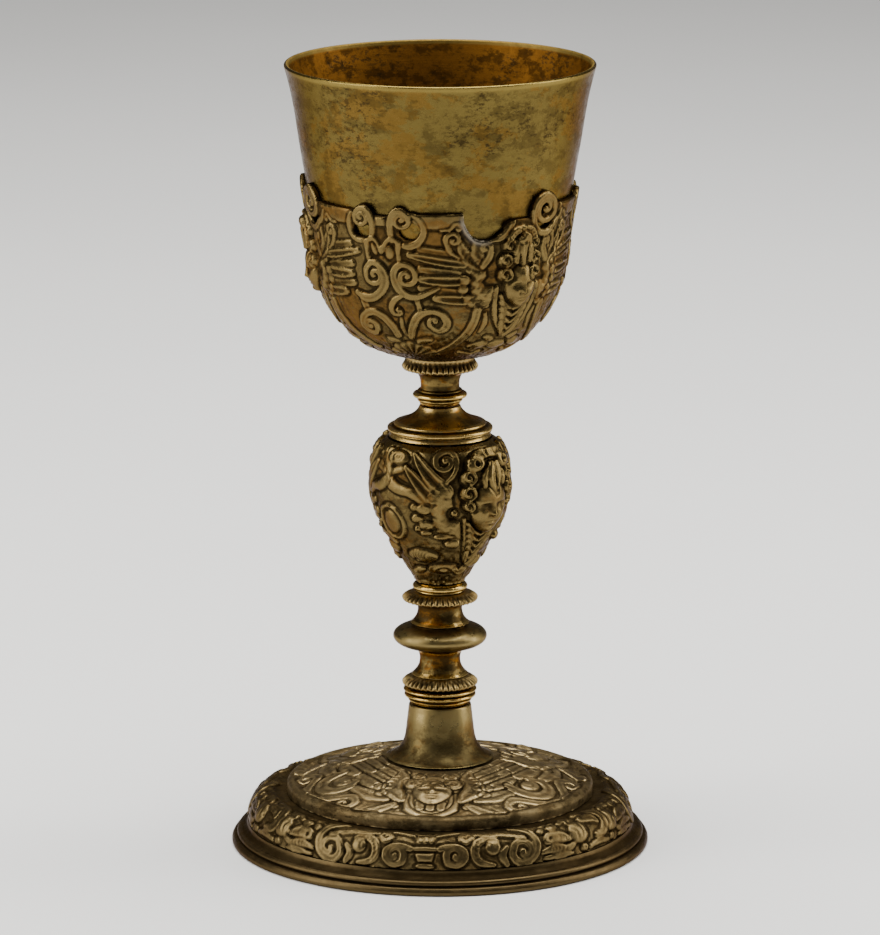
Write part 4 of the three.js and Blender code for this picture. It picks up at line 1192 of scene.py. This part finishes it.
def tie_rod():
    """The rod, with a helical thread on its lower end."""
    rows = np.arange(ROD_FOOT, THREAD_TOP, THREAD_STEP)
    side = np.stack([np.full(len(rows), ROD_RADIUS), rows], 1)
    plain = ((ROD_RADIUS, THREAD_TOP + 0.2), (ROD_RADIUS, ROD_TOP))
    loop = join((0, ROD_FOOT), side, *plain, (0, ROD_TOP))

    def thread(line, angle):
        z = line[:, 1][:, None]
        phase = z - angle[None, :] / (2 * np.pi)
        cut = 2 * np.abs(phase - np.round(phase))
        threaded = (z < THREAD_TOP) & (line[:, 0][:, None] > ROD_RADIUS / 2)
        return -THREAD_DEPTH * cut * threaded, 0.0, 0.0

    return revolve("rod", "tie_rod", loop, segments=48, corner=0.0, ripple=thread)


def square_nut():
    """The square nut with chamfered corners."""
    loop = on_rod((5.2, 14), (5.8, 14.6), (5.8, 18.7), (5.2, 19.3))

    def squared(line, angle):
        outer = line[:, 0][:, None] > BORE + 0.1
        turn = (angle + np.pi / 4) % (np.pi / 2) - np.pi / 4
        flat = np.minimum(1 / np.cos(turn), NUT_CORNER)[None, :]
        return line[:, 0][:, None] * (flat - 1) * outer, 0.0, 0.0

    return revolve("nut", "retaining_nut", loop, segments=144, corner=0.15, ripple=squared)


# ---- Materials ------------------------------------------------------------------------------------


class Paint:
    """One material, built from procedural nodes in the object's own space."""

    def __init__(self, name):
        self.material = bpy.data.materials.new(name)
        self.material.use_nodes = True
        self.tree = self.material.node_tree
        self.shader = self.tree.nodes["Principled BSDF"]
        self.space = self.node("ShaderNodeTexCoord").outputs["Object"]

    def node(self, kind, settings=(), inputs=()):
        made = self.tree.nodes.new(kind)
        for key, value in dict(settings).items():
            setattr(made, key, value)
        for key, value in dict(inputs).items():
            if isinstance(value, bpy.types.NodeSocket):
                self.tree.links.new(value, made.inputs[key])
            else:
                made.inputs[key].default_value = value
        return made

    def noise(self, scale, detail=4.0, rough=0.55, stretch=(1, 1, 1)):
        """Noise of that many waves to a metre."""
        placed = self.node("ShaderNodeMapping", inputs={"Vector": self.space, "Scale": stretch}).outputs[0]
        made = self.node("ShaderNodeTexNoise", inputs={"Vector": placed, "Scale": scale, "Detail": detail})
        made.inputs["Roughness"].default_value = rough
        return made.outputs["Fac"]

    def band(self, value, low, high, out_low=0.0, out_high=1.0):
        """The value spread from one range to another, and held inside it."""
        inputs = {"Value": value, "From Min": low, "From Max": high, "To Min": out_low, "To Max": out_high}
        return self.node("ShaderNodeMapRange", {"interpolation_type": "SMOOTHSTEP"}, inputs).outputs[0]

    def times(self, a, b):
        return self.node("ShaderNodeMath", {"operation": "MULTIPLY"}, {0: a, 1: b}).outputs[0]

    def plus(self, a, b):
        return self.node("ShaderNodeMath", {"operation": "ADD"}, {0: a, 1: b}).outputs[0]

    def mix(self, share, a, b):
        """Colour a turned into colour b by a share."""
        made = self.node("ShaderNodeMix", {"data_type": "RGBA"}, {0: share})
        for socket, value in ((made.inputs[6], a), (made.inputs[7], b)):
            if isinstance(value, bpy.types.NodeSocket):
                self.tree.links.new(value, socket)
            else:
                socket.default_value = (*value, 1)
        return made.outputs[2]

    def attribute(self, name):
        """A number that the mesh carries at each point, or 0 where it has none of that name."""
        return self.node("ShaderNodeAttribute", {"attribute_name": name}).outputs["Fac"]

    def facing_axis(self):
        """1 on the side of a wall that looks towards the axis, 0 on the other."""
        kind = "ShaderNodeVectorMath"
        flat = self.node(kind, {"operation": "MULTIPLY"}, {0: self.space, 1: (1, 1, 0)}).outputs[0]
        normal = self.node("ShaderNodeTexCoord").outputs["Normal"]
        facing = self.node(kind, {"operation": "DOT_PRODUCT"}, {0: flat, 1: normal}).outputs["Value"]
        return self.band(facing, 0.001, -0.001)

    def bump(self, height, distance, below=None):
        """A normal raised by a height of 0 to 1 over that many metres, on top of another bump."""
        inputs = {"Height": height, "Distance": distance, "Strength": 1.0}
        if below is not None:
            inputs["Normal"] = below
        return self.node("ShaderNodeBump", inputs=inputs).outputs[0]

    def connect(self, **sockets):
        for key, value in sockets.items():
            self.tree.links.new(value, self.shader.inputs[key.replace("_", " ")])


SPECK = (0.03, 0.02, 0.008)
DIRT = (0.02, 0.013, 0.005)
SOLDER_GREY = (0.17, 0.16, 0.145)
EDGE_TINT = (0.50, 0.46, 0.47, 1)  # the tint of the metal where it is seen along its surface


def gilt_color(paint, light, deep, warm, patches, inside, broad, middle):
    """Gold with warm and deep patches, and on the inside of a vessel a warmer colour painted for the light
    that bounces round inside it.
    """
    tone = paint.band(paint.noise(26, 3, 0.5), 0.35, 0.65)
    color = paint.mix(paint.times(tone, 0.3), light, deep)
    color = paint.mix(paint.times(broad, patches), color, warm)
    color = paint.mix(paint.times(middle, 0.6 * patches), color, deep)
    if inside is not None:
        # Painted bounce light: the inside of the vessel gets a warmer orange tint, with darker random
        # patches.
        glow_with_stains = paint.mix(middle, inside, tuple(v * 0.55 for v in inside))
        color = paint.mix(paint.facing_axis(), color, glow_with_stains)
    return color


def gilt_wear(paint, color, light, dirt):
    """Dark specks, dirt in the hollows, brighter metal on what stands out (partly rubbed wear, partly painted
    highlight), and grey solder.
    """
    specks = paint.band(paint.noise(480, 8, 0.8, (1, 1, 1.8)), 0.51, 0.58)
    clusters = paint.band(paint.noise(45, 8, 0.7), 0.47, 0.62)
    color = paint.mix(paint.times(paint.times(specks, clusters), 0.85), color, SPECK)
    color = paint.mix(dirt, color, DIRT)
    # Painted highlight mixed with real rubbed wear: a brighter copy of the gold on what stands out.
    rubbed_and_highlight = paint.times(paint.band(paint.attribute("cavity_and_shading"), 0.42, 0.15), 0.7)
    color = paint.mix(rubbed_and_highlight, color, tuple(min(1.0, 1.6 * v) for v in light))
    return paint.mix(paint.times(paint.attribute("solder"), 0.75), color, SOLDER_GREY)


def gilt_surface(paint, fine, lines, waves):
    """Fine grain, with broader waves and with lines round the axis if asked. Sizes are in metres."""
    normal = paint.bump(fine, 0.00008)
    normal = paint.bump(paint.noise(2200, 3, 0.6), 0.00004, normal)
    if waves:
        normal = paint.bump(paint.noise(170, 3, 0.5), waves, normal)
    if lines:
        normal = paint.bump(paint.noise(36, 4, 0.6, (1, 1, 26)), lines, normal)
    return normal


def gilt(name, light, deep, warm, roughness, tarnish=0.95, patches=0.5, lines=0.0, waves=0.0, inside=None):
    """Worn gilding: warm patches, dark specks, tarnish where the surface is hollow, and painted highlights
    where it stands out.
    """
    paint = Paint(name)
    broad = paint.band(paint.noise(60, 12, 0.72, (1, 1, 1.4)), 0.495, 0.545)
    middle = paint.band(paint.noise(150, 10, 0.75, (1, 1, 1.5)), 0.47, 0.57)
    hollow = paint.band(paint.plus(paint.attribute("cavity_and_shading"), paint.times(middle, 0.1)), 0.44, 0.8)
    dirt = paint.times(hollow, paint.band(paint.noise(90, 4, 0.6), 0.3, 0.6, tarnish * 0.6, tarnish))
    color = gilt_color(paint, light, deep, warm, patches, inside, broad, middle)
    fine = paint.noise(420, 5, 0.65)
    rough = paint.plus(paint.band(fine, 0.3, 0.7, roughness - 0.07, roughness + 0.09), paint.times(dirt, 0.3))
    rough = paint.plus(rough, paint.times(broad, 0.06))
    if inside is not None:
        rough = paint.plus(rough, paint.times(paint.facing_axis(), 0.36))
    color = gilt_wear(paint, color, light, dirt)
    paint.connect(Base_Color=color, Roughness=rough, Normal=gilt_surface(paint, fine, lines, waves))
    paint.shader.inputs["Metallic"].default_value = 1.0
    paint.shader.inputs["Specular Tint"].default_value = EDGE_TINT
    return paint.material


def gildings():
    """One gilding for each kind of piece. The three colours are the gold, its deep and its warm patches."""
    return {
        # The cup's inside colour is a painted glow of light bouncing inside the bowl.
        "cup": gilt("gilt_cup", (0.138, 0.100, 0.027), (0.066, 0.043, 0.012), (0.150, 0.070, 0.011),
                    0.21, 0.8, 0.45, lines=0.00006, inside=(0.17, 0.073, 0.012)),
        "cast": gilt("gilt_cast", (0.104, 0.073, 0.026), (0.050, 0.032, 0.011), (0.108, 0.054, 0.013),
                     0.27, patches=0.75),
        "turned": gilt("gilt_turned", (0.33, 0.228, 0.072), (0.060, 0.032, 0.008), (0.33, 0.135, 0.015),
                       0.18, 0.85, 1.2, waves=0.0006),
        "cap": gilt("gilt_smooth", (0.30, 0.205, 0.068), (0.075, 0.042, 0.011), (0.28, 0.120, 0.016),
                    0.27, 0.85, 0.8, waves=0.0004),
        "collar": gilt("gilt_collars", (0.20, 0.142, 0.056), (0.11, 0.070, 0.024), (0.16, 0.085, 0.02), 0.33),
        "neck": gilt("gilt_neck", (0.130, 0.098, 0.038), (0.070, 0.046, 0.015), (0.130, 0.070, 0.018),
                     0.30, 0.9),
        "dome": gilt("gilt_foot", (0.215, 0.160, 0.076), (0.12, 0.084, 0.036), (0.18, 0.118, 0.048), 0.35),
        "border": gilt("gilt_foot_edge", (0.092, 0.066, 0.028), (0.044, 0.030, 0.012), (0.080, 0.049, 0.017),
                       0.33),
        # Painted shade: a much darker copy of the foot gilding for the rim, whose front lies in shade.
        "rim": gilt("gilt_rim_shaded", (0.056, 0.039, 0.017), (0.030, 0.020, 0.009), (0.050, 0.030, 0.011), 0.35),
    }


def iron():
    """Dull wrought iron with rust."""
    paint = Paint("wrought_iron")
    rust = paint.band(paint.noise(300, 6, 0.65), 0.45, 0.68)
    color = paint.mix(rust, (0.10, 0.09, 0.085), (0.13, 0.05, 0.02))
    rough = paint.band(paint.noise(700, 4), 0.3, 0.7, 0.45, 0.75)
    paint.connect(Base_Color=color, Roughness=rough, Normal=paint.bump(paint.noise(1500, 4), 0.00008))
    paint.shader.inputs["Metallic"].default_value = 0.8
    return paint.material


def floor_paint():
    """A pale, matte floor with faint changes of tone."""
    paint = Paint("pale_floor")
    tone = paint.band(paint.noise(3, 2), 0.3, 0.7)
    color = paint.mix(tone, (0.80, 0.80, 0.79), (0.82, 0.82, 0.81))
    paint.connect(Base_Color=color)
    paint.shader.inputs["Roughness"].default_value = 0.9
    return paint.material


# ---- The whole chalice ----------------------------------------------------------------------------


def settle(piece, node, material):
    """Gives a piece its material and lets it stand for its CAD node."""
    piece.data.materials.append(material)
    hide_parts(node)
    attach(piece, "root")


def build_ornament(gold):
    """The four pieces with chased ornament."""
    settle(pierced_relief("calyx_chased", calyx_relief(), CALYX_WALL), "calyx", gold["cast"])
    knop_back = offset(knop_outline(), -CAST_WALL)[::-6]
    settle(solid_relief("knop_chased", knop_relief(), knop_back), "knop_body", gold["cast"])
    dome_back = offset(dome_outline(), -SHEET)[::-5]
    settle(solid_relief("dome_chased", dome_relief(), dome_back), "foot_dome", gold["dome"])
    border_back = offset(border_outline(), -SHEET)[::-5]
    border = solid_relief("border_chased", border_relief(), border_back)
    settle(border, "foot_border", gold["border"])


def build_turned(gold, rusty):
    """The cup, the plain turned pieces and the gadrooned collars."""
    cup = revolve("cup_raised", "cup", cup_loop(), WIDE_SEGMENTS, corner=0.0, ripple=uneven(0.12))
    settle(cup, "cup", gold["cup"])
    finishes = {"base_rim": (gold["rim"], "gilt_foot"), "knop_cap": (gold["cap"], "gilt_turned")}
    for node in ("foot_trumpet", "ring_knop"):
        finishes[node] = (gold["neck"], "gilt_turned")
    for node in ("bearing_disc", "washer"):
        finishes[node] = (rusty, "wrought_iron")
    for node, loop in stem_loops().items():
        material, slot = finishes.get(node, (gold["turned"], "gilt_turned"))
        segments = WIDE_SEGMENTS if node == "base_rim" else SEGMENTS
        settle(revolve(node + "_turned", node, loop, segments), node, material)
    for node, bottom, top, throat, shoulder in COLLARS:
        loop = collar_loop(bottom, top, throat, shoulder)
        piece = revolve(node + "_cut", node, loop, segments=GADROONS * 12, corner=0.1, ripple=gadroon_ripple)
        settle(piece, node, gold["collar"])
    settle(tie_rod(), "tie_rod", rusty)
    settle(square_nut(), "retaining_nut", rusty)


def area_light(name, place, target, size, power, color):
    """A rectangular light that faces the target."""
    light = bpy.data.lights.new(name, "AREA")
    light.shape = "RECTANGLE"
    light.size, light.size_y = size
    light.energy = power
    light.color = color
    lamp = bpy.data.objects.new(name, light)
    lamp.location = place
    lamp.rotation_euler = (Vector(target) - Vector(place)).to_track_quat("-Z", "Y").to_euler()
    bpy.context.scene.collection.objects.link(lamp)


FLOOR_REACH = 40  # like the places of the lights, in heights of the chalice
FLOOR_GAP = 0.0002  # metres under the foot
WORLD_LIGHT = 0.2
LIGHTS = (  # name, place, size in metres, watts, colour
    ("left", (-5, -1.4, 2.6), (0.9, 1.5), 20, (1.0, 0.98, 0.94)),
    ("right", (5, 0.6, 2.2), (0.6, 1.5), 15, (1.0, 0.98, 0.94)),
    ("top", (0.3, 0.8, 6.5), (1.4, 1.2), 44, (1.0, 0.99, 0.97)),
)


def build_stage(height):
    """A pale floor under the chalice, a dim even sky and three soft lights."""
    mesh = bpy.data.meshes.new("floor")
    reach = FLOOR_REACH * height
    corners = [(-reach, -reach), (reach, -reach), (reach, reach), (-reach, reach)]
    mesh.from_pydata([(x, y, CAD_LO.z - FLOOR_GAP) for x, y in corners], [], [(0, 1, 2, 3)])
    floor = bpy.data.objects.new("floor", mesh)
    bpy.context.scene.collection.objects.link(floor)
    floor.data.materials.append(floor_paint())
    world = bpy.data.worlds.new("studio")
    world.use_nodes = True
    sky = world.node_tree.nodes["Background"]
    sky.inputs["Color"].default_value = (1.0, 0.98, 0.95, 1)
    sky.inputs["Strength"].default_value = WORLD_LIGHT
    bpy.context.scene.world = world
    for name, place, size, power, color in LIGHTS:
        area_light(name, tuple(v * height for v in place), (0, 0, height * 0.55), size, power, color)


CAMERA_DISTANCE = 7.73  # in heights of the chalice
CAMERA_ABOVE_DEG = 15.96  # as seen from the middle of the foot
CAMERA_DOWN_DEG = 12.59  # how far it is tilted down
LENS_MM = 241.9
SENSOR_MM = 36
CLIP_END = 100  # metres


def build_camera(height):
    """Looks along +Y from a little above, from far away."""
    distance = CAMERA_DISTANCE * height
    camera = bpy.data.cameras.new("camera")
    camera.lens = LENS_MM
    camera.sensor_width = SENSOR_MM
    camera.clip_end = CLIP_END
    view = bpy.data.objects.new("camera", camera)
    view.location = (0, -distance, distance * math.tan(math.radians(CAMERA_ABOVE_DEG)))
    view.rotation_euler = (math.radians(90 - CAMERA_DOWN_DEG), 0, 0)
    bpy.context.scene.collection.objects.link(view)
    bpy.context.scene.camera = view


def main():
    height = CAD_HI.z - CAD_LO.z
    gold = gildings()
    build_ornament(gold)
    build_turned(gold, iron())
    build_stage(height)
    build_camera(height)


main()
